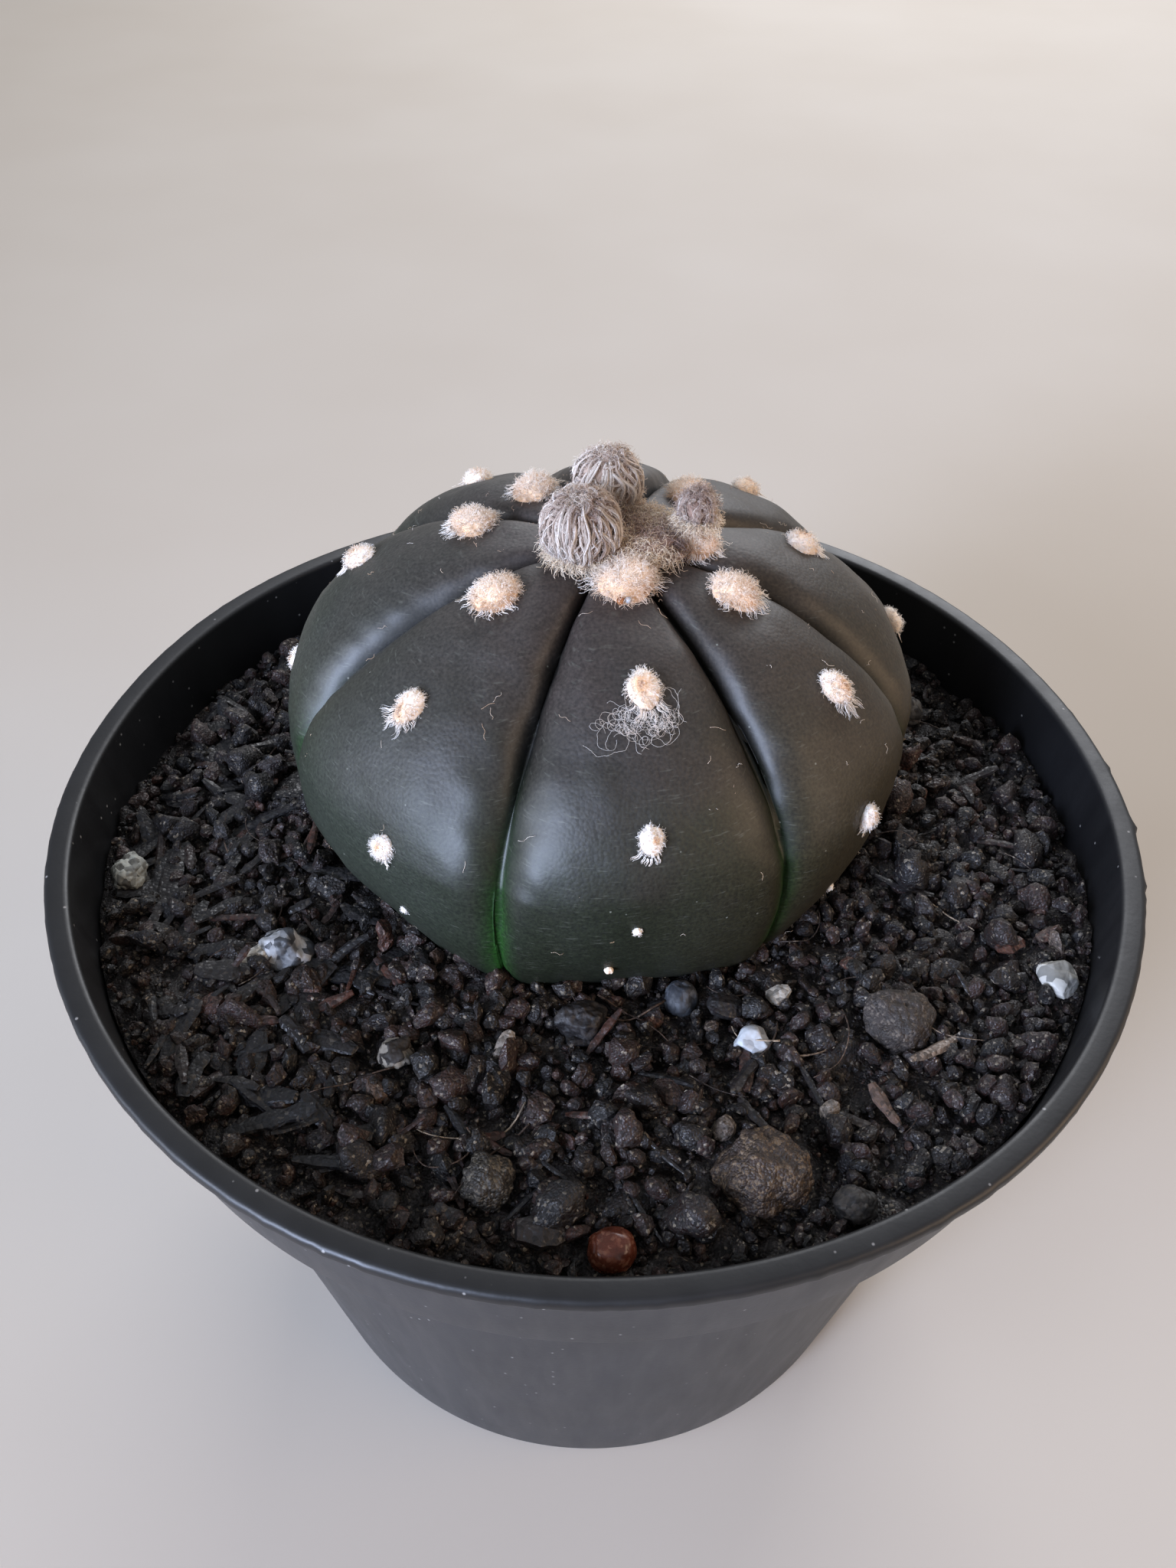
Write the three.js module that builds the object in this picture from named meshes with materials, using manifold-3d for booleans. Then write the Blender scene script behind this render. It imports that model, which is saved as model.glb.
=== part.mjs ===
// A round, spineless, eight-ribbed cactus growing in a black plastic nursery pot.
// Millimetres, +Z up. The origin is the centre of the pot's underside, and -Y is the front.
import * as THREE from "three";
import { mergeVertices } from "three/addons/utils/BufferGeometryUtils.js";
import Module from "manifold-3d";

// ---- Driving dimensions: pot ----
const potHeight = 76;
const rimRadius = 55; // outside of the lip
const baseRadius = 38.3; // outside of the foot
const wall = 1.1;
const lipOverhang = 1.2; // the lip stands out this far past the collar
const lipThickness = 1.5;
const lipInnerLedge = 0.9; // the lip's flat top is this much narrower than lip and wall together
const collarHeight = 14.5; // lip top down to the shoulder
const collarDraft = 2.3; // the collar gets this much narrower on its way down
const shoulderStep = 3.6; // inward step from the collar to the tapered wall
const shoulderDrop = 0.8;
const footHeight = 2.2; // the floor's underside is this far above the table
const footWidth = 2.6;
const footRounding = 0.8;
const floorThickness = 1.4;
const drainHoleRadius = 4;
const drainHoleCount = 6; // around one more in the middle
const drainCircleRadius = 25;
const drainHoleSides = 10;
const lipCorners = { under: 0.2, top: 0.6 }; // how far the lip's outer corners are cut back
const potSegments = 48;

// ---- Driving dimensions: potting mix ----
const mixDrop = 6.5; // mean level of the mix, down from the lip's top
const mixTilt = 0.03; // the mix lies higher at the front
const mixBumpHeight = 0.7;
const mixWaves = { x: 5.3, y: 6.1, slanted: 9.7 }; // the bumps' sine waves, in mm for each radian
const gap = 0.3; // between pieces that touch

// ---- Driving dimensions: cactus ----
const cactusRadius = 31.7; // at its equator, to the middle of a rib
const cactusBack = 7.8; // the plant stands this far behind the middle of the pot
const equatorAboveMix = 14.7;
const apexAboveEquator = 18.3;
const baseBelowEquator = 29.5;
const crownShift = { x: 0.6, y: -0.8 }; // the growing point leans this way
const crownDimple = { depth: 1.5, radius: 7 };
const upperFullness = 1.96; // superellipse powers of the side view, above and below the equator
const lowerFullness = 2.08;
const firstGroove = -106; // degrees from +X, anticlockwise seen from above
const ribWidths = [50, 41, 43, 43, 36, 40, 53, 54]; // degrees, from the front rib anticlockwise
const grooveDepth = 2.3;
const grooveSharpness = 0.13; // width of the crease, as a share of half a rib
const facets = { top: -1.5, bottom: 0.9 }; // below 0 a rib is crested, and at 1 its face is flat
const lowerTwist = -1.6; // degrees from equator to base
const neckRadius = 6;
const neckLength = 14;
const skinColumns = 6; // for each rib
const skinRows = 26;
const waistAtMix = 0.88; // the plant's radius where it enters the mix, as a share of its equator's

// ---- Driving dimensions: wool and buds ----
// Places down a rib are shares of the way along the skin from the apex to the equator.
const firstAreole = [0.17, 0.35, 0.21, 0.32, 0.29, 0.31, 0.35, 0.33]; // on each rib
const areoleSteps = [0.32, 0.33, 0.22]; // from each areole to the next one down its rib
const frontLastStep = 0.255; // the front rib's oldest areole is farther down than the others'
// How far the areoles lie off their rib's middle, as shares of half a rib, newest to oldest.
const areoleDrift = [
  [0.25, 0.3, -0.3, 0, 0, 0, -0.4, -0.3],
  [0.1, 0.12, 0.4, 0.1, 0, -0.1, -0.2, 0],
  [0, -0.05, 0.05, 0.1, 0, 0, 0.1, 0.2],
  [-0.1, -0.3, 0, 0.1, 0, 0, 0.2, 0.26],
];
const areoleWidths = [4.6, 3.4, 2.6, 1.2]; // newest to oldest
const frontAreoleWidth = 6; // the one new areole that has grown widest
const areoleHeightRatio = 0.5;
const areoleSides = { large: 10, small: 6 };
const smallAreole = 2; // an areole up to this wide has the fewer sides
const woolRadius = 5.6;
const woolHeight = 1.8;
const woolBulge = { x: 1.6, y: 0.4 }; // the wool lies this far from the growing point
const woolLobes = { count: 3, depth: 0.12 };
const woolFullness = 0.8; // power of the sine in the side view of buds and wool
// Each bud's x and y are counted from the growing point; lift is its foot's height off the skin.
const buds = [
  { name: "flower_bud_front", x: -2.6, y: -2.4, radius: 4.1, height: 7, lift: 0 },
  { name: "flower_bud_back", x: -0.2, y: 6, radius: 3.7, height: 6.4, lift: 0 },
  { name: "flower_bud_right", x: 8.2, y: 0.6, radius: 2.1, height: 4.4, lift: 1 },
];

// ---- Driving dimensions: loose stones ----
// angle is the direction from the plant in degrees, share the way from its skin (0) to the
// pot's wall (1), and size a stone's [length, width, height].
const stoneSink = 0.4; // share of a stone's height that lies below the mix
const stoneWear = { broad: 0.1, fine: 0.06 }; // heights of the waves on a stone, in its half sizes
const stones = [
  { name: "gravel_speckled", angle: -73.5, share: 0.86, size: [8.6, 8, 7], turn: 20 },
  { name: "gravel_grey_brown", angle: -99.5, share: 0.79, size: [5.4, 5, 4.6], turn: 50 },
  { name: "gravel_brown_right", angle: -49.5, share: 0.55, size: [7, 6.4, 5.4], turn: 10 },
  { name: "pebble_red_brown", angle: -88, share: 0.98, size: [4.4, 3.6, 3.4], turn: 35 },
  { name: "pebble_white", angle: -67.5, share: 0.31, size: [3.4, 3, 2.8], turn: 0 },
  { name: "pebble_blue_grey", angle: -74, share: 0.02, size: [3.8, 3.2, 3], turn: 60 },
  { name: "charcoal_lump_front", angle: -92, share: 0.08, size: [5.2, 4.2, 4], turn: 15 },
  { name: "stone_grey_angular", angle: -140, share: 0.37, size: [6.2, 5, 4.6], turn: 40 },
  { name: "pebble_pale_left", angle: -161.5, share: 1, size: [5, 4, 3.6], turn: 80 },
  { name: "chip_pale_right", angle: -31, share: 1, size: [4.6, 3.4, 3], turn: -50 },
  { name: "pebble_dark_right", angle: -66.5, share: 1, size: [4.2, 3.6, 3], turn: 5 },
  { name: "stone_white_spot", angle: -115.5, share: 0.43, size: [3.8, 3.2, 3], turn: 30 },
  { name: "stone_behind_left", angle: 149, share: 0.45, size: [6, 5, 4.4], turn: 65 },
  { name: "stone_behind_right", angle: 22, share: 0.6, size: [5, 4.4, 4], turn: -20 },
];

// ---- Worked out from the above ----
const mixLevel = potHeight - mixDrop;
const equatorZ = mixLevel + equatorAboveMix;
const shoulderZ = potHeight - collarHeight;
const floorTop = footHeight + floorThickness;
const collarTopRadius = rimRadius - lipOverhang;
const collarBottomRadius = collarTopRadius - collarDraft;
const taperTopRadius = collarBottomRadius - shoulderStep;
const taperSlope = (taperTopRadius - baseRadius) / (shoulderZ - shoulderDrop);
const degrees = Math.PI / 180;

const plastic = { color: "#242424", roughness: 0.5, metalness: 0 };
const mixLook = { color: "#1d1815", roughness: 0.95, metalness: 0 };
const skin = { color: "#3f423d", roughness: 0.6, metalness: 0 };
const creamWool = { color: "#dcc6aa", roughness: 1, metalness: 0 };
const greyWool = { color: "#a3968f", roughness: 1, metalness: 0 };
const stoneLook = { color: "#6d6660", roughness: 0.85, metalness: 0 };

const wasm = await Module();
wasm.setup();

/** A closed body with shared vertices and no triangle that has shrunk to a line. */
function welded(geometry) {
  geometry.deleteAttribute("normal");
  geometry.deleteAttribute("uv");
  const merged = mergeVertices(geometry, 1e-4);
  const old = merged.index.array;
  const kept = [];
  for (let i = 0; i < old.length; i += 3) {
    const [a, b, c] = [old[i], old[i + 1], old[i + 2]];
    if (a !== b && b !== c && c !== a) {
      kept.push(a, b, c);
    }
  }
  merged.setIndex(kept);
  return merged;
}

function toManifold(geometry) {
  const vertProperties = new Float32Array(geometry.attributes.position.array);
  const triVerts = new Uint32Array(geometry.index.array);
  return new wasm.Manifold(new wasm.Mesh({ numProp: 3, vertProperties, triVerts }));
}

function fromManifold(manifold) {
  const mesh = manifold.getMesh();
  const geometry = new THREE.BufferGeometry();
  geometry.setAttribute("position", new THREE.BufferAttribute(mesh.vertProperties, 3));
  geometry.setIndex(new THREE.BufferAttribute(mesh.triVerts, 1));
  return geometry;
}

/** The geometry with each of the tools cut away. */
function cut(geometry, tools) {
  const body = tools.reduce((left, tool) => left.subtract(toManifold(tool)), toManifold(geometry));
  return fromManifold(body);
}

/** A closed surface on a sphere's grid: place(u, v) gives each point, v 0 at the top pole. */
function gridSolid(columns, rows, place) {
  const geometry = new THREE.SphereGeometry(1, columns, rows);
  const { position, uv } = geometry.attributes;
  for (let i = 0; i < position.count; i += 1) {
    const point = place(uv.getX(i) % 1, 1 - uv.getY(i));
    position.setXYZ(i, point.x, point.y, point.z);
  }
  return welded(geometry);
}

/** A solid turned about the Z axis from a profile of [radius, height] that starts and ends on it. */
function turned(profile, segments) {
  const points = profile.map((point) => new THREE.Vector2(point.x, point.y));
  const geometry = new THREE.LatheGeometry(points, segments);
  geometry.rotateX(90 * degrees);
  return welded(geometry);
}

function smoothstep(low, high, value) {
  return THREE.MathUtils.smoothstep(value, low, high);
}

// ---- Pot ----

/** The inside radius of the pot's wall at a height. */
function potInside(z) {
  if (z >= shoulderZ) {
    const rise = (z - shoulderZ) / (collarHeight - lipThickness);
    return collarBottomRadius - wall + collarDraft * Math.min(rise, 1);
  }
  return baseRadius - wall + taperSlope * THREE.MathUtils.clamp(z, 0, shoulderZ - shoulderDrop);
}

/** A cylinder that cuts one drainage hole, at a distance from the pot's axis and an angle. */
function drainDrill(out, angle) {
  const length = 4 * floorTop;
  const drill = new THREE.CylinderGeometry(drainHoleRadius, drainHoleRadius, length, drainHoleSides);
  drill.rotateX(90 * degrees);
  drill.translate(out * Math.cos(angle), out * Math.sin(angle), 0);
  return welded(drill);
}

function makePot() {
  const underLip = potHeight - lipThickness;
  const profile = new THREE.Path();
  profile.moveTo(0, footHeight);
  profile.lineTo(baseRadius - footWidth - footHeight / 2, footHeight);
  profile.lineTo(baseRadius - footWidth, 0);
  profile.lineTo(baseRadius - footRounding, 0);
  const footTop = baseRadius + taperSlope * footRounding;
  profile.quadraticCurveTo(baseRadius, 0, footTop, footRounding);
  profile.lineTo(taperTopRadius, shoulderZ - shoulderDrop);
  profile.lineTo(collarBottomRadius - shoulderDrop / 2, shoulderZ - shoulderDrop / 2);
  profile.lineTo(collarBottomRadius, shoulderZ);
  profile.lineTo(collarTopRadius, underLip);
  profile.lineTo(rimRadius - lipCorners.under, underLip);
  profile.lineTo(rimRadius, underLip + lipThickness / 2);
  profile.quadraticCurveTo(rimRadius, potHeight, rimRadius - lipCorners.top, potHeight);
  profile.lineTo(rimRadius - lipOverhang - wall + lipInnerLedge / 2, potHeight);
  profile.lineTo(collarTopRadius - wall, potHeight - lipInnerLedge / 2);
  profile.lineTo(collarTopRadius - wall, underLip);
  profile.lineTo(collarBottomRadius - wall, shoulderZ);
  profile.lineTo(taperTopRadius - wall, shoulderZ - shoulderDrop);
  profile.lineTo(potInside(floorTop), floorTop);
  profile.lineTo(0, floorTop);
  const drills = [drainDrill(0, 0)];
  for (let i = 0; i < drainHoleCount; i += 1) {
    drills.push(drainDrill(drainCircleRadius, (i * 2 * Math.PI) / drainHoleCount));
  }
  return cut(turned(profile.getPoints(2), potSegments), drills);
}

// ---- Cactus ----

/** The side view of the plant: t is 0 at the apex, 1 at the equator, 2 at the base, 3 under the neck. */
function meridian(t) {
  const quarter = 90 * degrees;
  if (t <= 1) {
    const r = cactusRadius * Math.sin(t * quarter) ** (2 / upperFullness);
    const dimple = crownDimple.depth * Math.exp(-((r / crownDimple.radius) ** 2));
    const rise = apexAboveEquator * Math.max(Math.cos(t * quarter), 0) ** (2 / upperFullness);
    return { r, z: equatorZ + rise - dimple };
  }
  if (t <= 2) {
    const c = Math.max(Math.cos((t - 1) * quarter), 0) ** (2 / lowerFullness);
    const drop = baseBelowEquator * Math.sin((t - 1) * quarter) ** (2 / lowerFullness);
    return { r: cactusRadius * c + neckRadius * (1 - c) ** 3, z: equatorZ - drop };
  }
  const q = Math.min(t - 2, 1);
  const r = neckRadius * (1 - 0.3 * q) * Math.sqrt(1 - q ** 4);
  return { r, z: equatorZ - baseBelowEquator - neckLength * q };
}

/** The direction across the side view's line, out of the plant. */
function meridianNormal(t) {
  const before = meridian(Math.max(t - 0.01, 0.001));
  const after = meridian(Math.min(t + 0.01, 2.99));
  const length = Math.hypot(after.r - before.r, after.z - before.z);
  return { r: (before.z - after.z) / length, z: (after.r - before.r) / length };
}

/** Where rib number (0 is the front one) starts, in degrees. */
function ribStart(rib) {
  return ribWidths.slice(0, rib).reduce((sum, width) => sum + width, firstGroove);
}

/**
 * A point on the skin. across is -1 and 1 at the grooves beside the rib and 0 on its middle;
 * offset moves the whole skin outwards.
 */
function skinPoint(rib, across, t, offset = 0) {
  const halfWidth = ribWidths[rib] / 2;
  const line = meridian(t);
  const normal = meridianNormal(t);
  const buried = 1 - smoothstep(1.7, 2, t);
  // Ribs are crested at the top and flatten into the sides of an octagon lower down.
  const flatness = THREE.MathUtils.lerp(facets.top, facets.bottom, smoothstep(0.1, 1.5, t)) * buried;
  const facing = 1 + flatness * (1 / Math.cos(across * halfWidth * degrees) - 1);
  const depth = grooveDepth * Math.min(t / 0.2, 1) ** 0.7 * (1 - 0.25 * t) * buried;
  const crease = depth * Math.exp((Math.abs(across) - 1) / grooveSharpness) - offset;
  const r = Math.max(line.r * facing - crease * normal.r, 0);
  const z = line.z - crease * normal.z;
  const twist = lowerTwist * THREE.MathUtils.clamp(t - 1, 0, 1);
  const angle = (ribStart(rib) + halfWidth * (1 + across) + twist) * degrees;
  const lean = Math.max(1 - t, 0) ** 1.5;
  return new THREE.Vector3(
    r * Math.cos(angle) + crownShift.x * lean,
    r * Math.sin(angle) + cactusBack + crownShift.y * lean,
    z,
  );
}

/** The whole plant, with its skin moved outwards by offset. */
function makeCactus(offset = 0) {
  const columns = skinColumns * ribWidths.length;
  return gridSolid(columns, skinRows, (u, v) => {
    const column = Math.round(u * columns) % columns;
    const rib = Math.floor(column / skinColumns);
    const step = (2 * (column % skinColumns)) / skinColumns - 1;
    const onAxis = v < 1e-6 || v > 1 - 1e-6;
    const point = skinPoint(rib, Math.sin((step * Math.PI) / 2), 3 * v, offset);
    return onAxis ? skinPole(v, offset) : point;
  });
}

/** The apex or the tip of the neck, where all the ribs meet. */
function skinPole(v, offset) {
  const top = v < 0.5;
  const z = top ? meridian(0).z + offset : meridian(3).z - offset;
  const shift = top ? crownShift : { x: 0, y: 0 };
  return new THREE.Vector3(shift.x, cactusBack + shift.y, z);
}

/** The distance along a rib's middle from the apex to t, in small steps. */
function lengthAlongRib(rib, t) {
  const steps = Math.ceil(t / 0.01);
  let length = 0;
  let last = skinPole(0, 0);
  for (let i = 1; i <= steps; i += 1) {
    const next = skinPoint(rib, 0, (t * i) / steps);
    length += next.distanceTo(last);
    last = next;
  }
  return length;
}

/** The t at a share of the way along the skin from the apex to the equator, or past it. */
function alongRib(rib, share) {
  const target = share * lengthAlongRib(rib, 1);
  let t = share;
  for (let i = 0; i < 12; i += 1) {
    t += (target - lengthAlongRib(rib, t)) / lengthAlongRib(rib, 1);
  }
  return t;
}

/** The height of the skin's side view at a distance from the plant's axis, near the crown. */
function crownHeight(distance) {
  let t = 0;
  while (meridian(t).r < distance) {
    t += 0.01;
  }
  return meridian(t).z;
}

// ---- Potting mix and stones ----

/** The height of the mix's surface: a slight slope with low bumps. */
function mixSurface(x, y) {
  const crossed = Math.sin(x / mixWaves.x + 0.4) * Math.cos(y / mixWaves.y);
  const slanted = 0.6 * Math.sin((x - 2 * y) / mixWaves.slanted);
  return mixLevel - mixTilt * y + mixBumpHeight * (crossed + slanted);
}

/** The radius of the mix at a height, clear of the pot's wall. */
function mixSide(z) {
  return potInside(z) - gap;
}

/** The radius at which the mix's surface meets the wall in the direction of an angle. */
function mixEdge(angle) {
  const usual = mixSide(mixLevel);
  return mixSide(mixSurface(usual * Math.cos(angle), usual * Math.sin(angle)));
}

function makeMix(tools) {
  const topRows = 9;
  const bottom = floorTop + gap;
  const shoulderBottom = shoulderZ - shoulderDrop;
  const sides = [
    { r: mixSide(shoulderZ + gap), z: shoulderZ + gap },
    { r: mixSide(shoulderBottom), z: shoulderBottom },
    { r: mixSide(bottom), z: bottom },
    { r: 0, z: bottom },
  ];
  const rows = topRows + sides.length;
  const body = gridSolid(potSegments, rows, (u, v) => {
    const row = Math.round(v * rows);
    const angle = u * 2 * Math.PI;
    const toEdge = (row / topRows) * mixEdge(angle);
    const side = row > topRows ? sides[row - topRows - 1] : { r: toEdge };
    const x = side.r * Math.cos(angle);
    const y = side.r * Math.sin(angle);
    return new THREE.Vector3(x, y, side.z ?? mixSurface(x, y));
  });
  return cut(body, tools);
}

/** A rounded stone with worn facets, larger all over by offset. */
function makeStone({ size, name }, offset = 0) {
  const geometry = new THREE.IcosahedronGeometry(0.5, 1);
  const seed = name.length;
  const { position } = geometry.attributes;
  for (let i = 0; i < position.count; i += 1) {
    const [x, y, z] = [position.getX(i), position.getY(i), position.getZ(i)];
    const broad = stoneWear.broad * Math.sin(5 * x + seed) * Math.cos(4 * y - seed);
    const wear = 1 + broad + stoneWear.fine * Math.sin(7 * z + seed);
    const [length, width, height] = size.map((value) => value + 2 * offset);
    position.setXYZ(i, x * length * wear, y * width * wear, z * height * wear);
  }
  return welded(geometry);
}

/** The distance from the plant's axis to a circle about the pot's axis, in a direction. */
function reach(angle, radius) {
  const along = cactusBack * Math.sin(angle);
  return Math.sqrt(radius ** 2 - cactusBack ** 2 + along ** 2) - along;
}

/** Where a stone lies: partly sunk in the mix, clear of the plant and the wall. */
function stonePlace({ angle, share, size, turn }) {
  const direction = angle * degrees;
  const room = size[0] / 2 + 2 * gap;
  const nearest = cactusRadius * waistAtMix + room;
  const farthest = reach(direction, mixSide(mixLevel)) - room;
  const out = nearest + share * (farthest - nearest);
  const x = out * Math.cos(direction);
  const y = cactusBack + out * Math.sin(direction);
  const z = mixSurface(x, y) + size[2] * (0.5 - stoneSink);
  const matrix = new THREE.Matrix4().makeRotationZ(turn * degrees);
  return matrix.setPosition(x, y, z);
}

// ---- Wool and buds ----

/** A low round tuft with a flat underside, larger all over by offset. */
function makeTuft(width, offset = 0) {
  const height = width * areoleHeightRatio;
  const profile = [
    new THREE.Vector2(0, -offset),
    new THREE.Vector2(0.42 * width + offset, -offset),
    new THREE.Vector2(0.5 * width + offset, 0.3 * height),
    new THREE.Vector2(0.36 * width + offset, 0.78 * height + offset),
    new THREE.Vector2(0, height + offset),
  ];
  return turned(profile, width > smallAreole ? areoleSides.large : areoleSides.small);
}

/** Every areole's name, width and place: each stands near its rib's middle, square to the skin. */
function areoleList() {
  const upright = new THREE.Vector3(0, 0, 1);
  return ribWidths.flatMap((ribWidth, rib) => {
    let share = firstAreole[rib];
    return areoleWidths.map((usualWidth, order) => {
      const t = alongRib(rib, share);
      const across = areoleDrift[order][rib];
      const foot = skinPoint(rib, across, t);
      const normal = new THREE.Vector3().subVectors(skinPoint(rib, across, t, 1), foot).normalize();
      const turn = new THREE.Quaternion().setFromUnitVectors(upright, normal);
      const place = new THREE.Matrix4().makeRotationFromQuaternion(turn);
      place.setPosition(foot.addScaledVector(normal, gap));
      const isFront = rib === 0;
      share += isFront && order === areoleSteps.length - 1 ? frontLastStep : areoleSteps[order];
      const width = isFront && order === 0 ? frontAreoleWidth : usualWidth;
      return { name: `areole_${rib + 1}_${order + 1}`, order, width, place };
    });
  });
}

/** A woolly bud, egg-shaped, standing on its foot. */
function makeBud({ radius, height }, offset = 0) {
  return gridSolid(14, 8, (u, v) => {
    const angle = u * 2 * Math.PI;
    const r = (radius + offset) * Math.sin(v * Math.PI) ** woolFullness * (0.92 + 0.12 * v);
    const z = height / 2 + (height / 2 + offset) * Math.cos(v * Math.PI);
    return new THREE.Vector3(r * Math.cos(angle), r * Math.sin(angle), z);
  });
}

/** A bud's foot stands just clear of the skin, or higher, in the wool that it grew from. */
function budPlace({ x, y, lift }) {
  const crown = skinPole(0, 0);
  const height = crownHeight(Math.hypot(x, y)) + gap + lift;
  return new THREE.Vector3(crown.x + x, crown.y + y, height);
}

function makeCrownWool(tools) {
  const crown = skinPole(0, 0);
  const pad = gridSolid(20, 8, (u, v) => {
    const angle = u * 2 * Math.PI;
    const edge = woolRadius * (1 + woolLobes.depth * Math.sin(woolLobes.count * angle));
    const r = edge * Math.sin(v * Math.PI) ** woolFullness;
    return new THREE.Vector3(
      crown.x + woolBulge.x + r * Math.cos(angle),
      crown.y + woolBulge.y + r * Math.sin(angle),
      crown.z + crownDimple.depth / 2 + woolHeight * Math.cos(v * Math.PI),
    );
  });
  return cut(pad, tools);
}

// ---- Assembly ----

const cactus = new THREE.Group();

function addPiece(name, geometry, look) {
  const mesh = new THREE.Mesh(geometry, new THREE.MeshStandardMaterial(look));
  mesh.name = name;
  cactus.add(mesh);
  return mesh;
}

addPiece("pot", makePot(), plastic);

const stonePockets = stones.map((stone) => makeStone(stone, gap).applyMatrix4(stonePlace(stone)));
addPiece("potting_mix", makeMix([makeCactus(gap), ...stonePockets]), mixLook);
for (const stone of stones) {
  addPiece(stone.name, makeStone(stone), stoneLook).applyMatrix4(stonePlace(stone));
}

addPiece("cactus_body", makeCactus(), skin);

const areoles = areoleList();
for (const areole of areoles) {
  addPiece(areole.name, makeTuft(areole.width), creamWool).applyMatrix4(areole.place);
}

const budSpaces = buds.map((bud) => {
  const place = budPlace(bud);
  return makeBud(bud, gap).translate(place.x, place.y, place.z);
});
const newTufts = areoles.filter((areole) => areole.order === 0);
const tuftSpaces = newTufts.map(({ width, place }) => makeTuft(width, gap).applyMatrix4(place));
const skinSpace = makeCactus(gap);
addPiece("crown_wool", makeCrownWool([skinSpace, ...budSpaces, ...tuftSpaces]), creamWool);
for (const bud of buds) {
  const place = budPlace(bud);
  const whole = makeBud(bud).translate(place.x, place.y, place.z);
  addPiece(bud.name, cut(whole, [skinSpace, ...tuftSpaces]), greyWool);
}

export default cactus;
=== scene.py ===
"""A round cactus with eight ribs, woolly tufts and flower buds, in a black nursery pot.

Shapes are worked out in millimetres in the CAD model's frame, and turned to metres when
their meshes are made. +Z is up and -Y is the front.
"""
import math

import bpy
import numpy as np
from mathutils import Matrix, Vector


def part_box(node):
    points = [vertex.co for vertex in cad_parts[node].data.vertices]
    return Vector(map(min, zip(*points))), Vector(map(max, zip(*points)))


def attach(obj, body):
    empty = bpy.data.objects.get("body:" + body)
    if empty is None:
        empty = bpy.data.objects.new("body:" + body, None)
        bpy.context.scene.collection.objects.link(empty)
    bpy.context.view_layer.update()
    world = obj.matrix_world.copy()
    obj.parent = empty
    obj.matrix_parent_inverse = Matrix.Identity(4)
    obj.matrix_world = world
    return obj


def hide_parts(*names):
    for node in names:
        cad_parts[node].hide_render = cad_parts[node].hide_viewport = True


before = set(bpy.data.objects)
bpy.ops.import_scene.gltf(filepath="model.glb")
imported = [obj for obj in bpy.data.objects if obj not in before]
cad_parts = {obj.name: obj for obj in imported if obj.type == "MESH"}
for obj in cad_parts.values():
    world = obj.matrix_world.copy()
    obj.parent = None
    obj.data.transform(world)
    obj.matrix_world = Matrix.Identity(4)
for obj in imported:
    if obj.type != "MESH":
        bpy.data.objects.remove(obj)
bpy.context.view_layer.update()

MM = 0.001
TURN = 2 * math.pi


def node_box(node):
    """A CAD node's lowest and highest corner, in millimetres."""
    low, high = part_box(node)
    return np.array(low) / MM, np.array(high) / MM


NODES = sorted(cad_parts)
POT_HIGH = node_box("pot")[1]

# ---- Sizes of the pot ----
RIM_RADIUS = POT_HIGH[0]
POT_TOP = POT_HIGH[2]
BASE_RADIUS = 38.3
WALL = 1.1
LIP_OVERHANG = 1.2
LIP_THICKNESS = 1.5
COLLAR_HEIGHT = 14.5
COLLAR_DRAFT = 2.3
SHOULDER_STEP = 3.6
SHOULDER_DROP = 0.8
FOOT_HEIGHT = 2.2
FOOT_WIDTH = 2.6
FLOOR_THICKNESS = 1.4
HOLE_RADIUS = 4.0
HOLE_COUNT = 6  # around one more in the middle
HOLE_CIRCLE = 25.0
MIDDLE_PLATE = 13.0
COLLAR_TOP = RIM_RADIUS - LIP_OVERHANG
COLLAR_BOTTOM = COLLAR_TOP - COLLAR_DRAFT
TAPER_TOP = COLLAR_BOTTOM - SHOULDER_STEP
SHOULDER_Z = POT_TOP - COLLAR_HEIGHT
FLOOR_TOP = FOOT_HEIGHT + FLOOR_THICKNESS

# ---- Sizes of the plant and the mix; angles are in degrees ----
MIX_LEVEL = POT_TOP - 6.5
MIX_TILT = 0.03
MIX_BUMP = 0.7
PLANT_BACK = 7.8  # behind the pot's axis
PLANT_RADIUS = 31.7
EQUATOR_Z = MIX_LEVEL + 14.7
APEX_RISE = 18.3
BASE_DROP = 29.5
CROWN_SHIFT = np.array([0.6, -0.8, 0.0])
DIMPLE_DEPTH = 1.5
DIMPLE_RADIUS = 7.0
UPPER_FULLNESS = 1.96  # a superellipse's exponent: 2 is round, and more is squarer
LOWER_FULLNESS = 2.08
FIRST_GROOVE = -106.0  # anticlockwise from +X, as the ribs are counted
RIB_WIDTHS = np.array([50, 41, 43, 43, 36, 40, 53, 54.0])
RIB_COUNT = len(RIB_WIDTHS)
GROOVE_DEPTH = 2.3
GROOVE_SHARPNESS = 0.13
LOWER_TWIST = -1.6
NECK_RADIUS = 6.0
NECK_LENGTH = 14.0


# ---- Small tools for shapes ----


def unit(vectors):
    """Vectors at length 1."""
    return vectors / np.maximum(np.linalg.norm(vectors, axis=-1, keepdims=True), 1e-12)


def smooth(low, high, value):
    """0 below low, 1 above high, and an S-curve 3x^2 - 2x^3 between."""
    x = np.clip((value - low) / (high - low), 0, 1)
    return x * x * (3 - 2 * x)


def ripple(points, size, seed, count=20):
    """Smooth noise about 0: the sum of sine waves that cross the points in random directions.

    Their wavelengths lie about size, and the sum is divided by the square root of their count.
    """
    rng = np.random.default_rng(seed)
    waves = unit(rng.normal(size=(count, 3))) * TURN / (size * rng.uniform(0.6, 1.7, (count, 1)))
    phases = rng.uniform(0, TURN, count)
    return np.sin(points @ waves.T + phases).sum(axis=-1) / math.sqrt(count)


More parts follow.
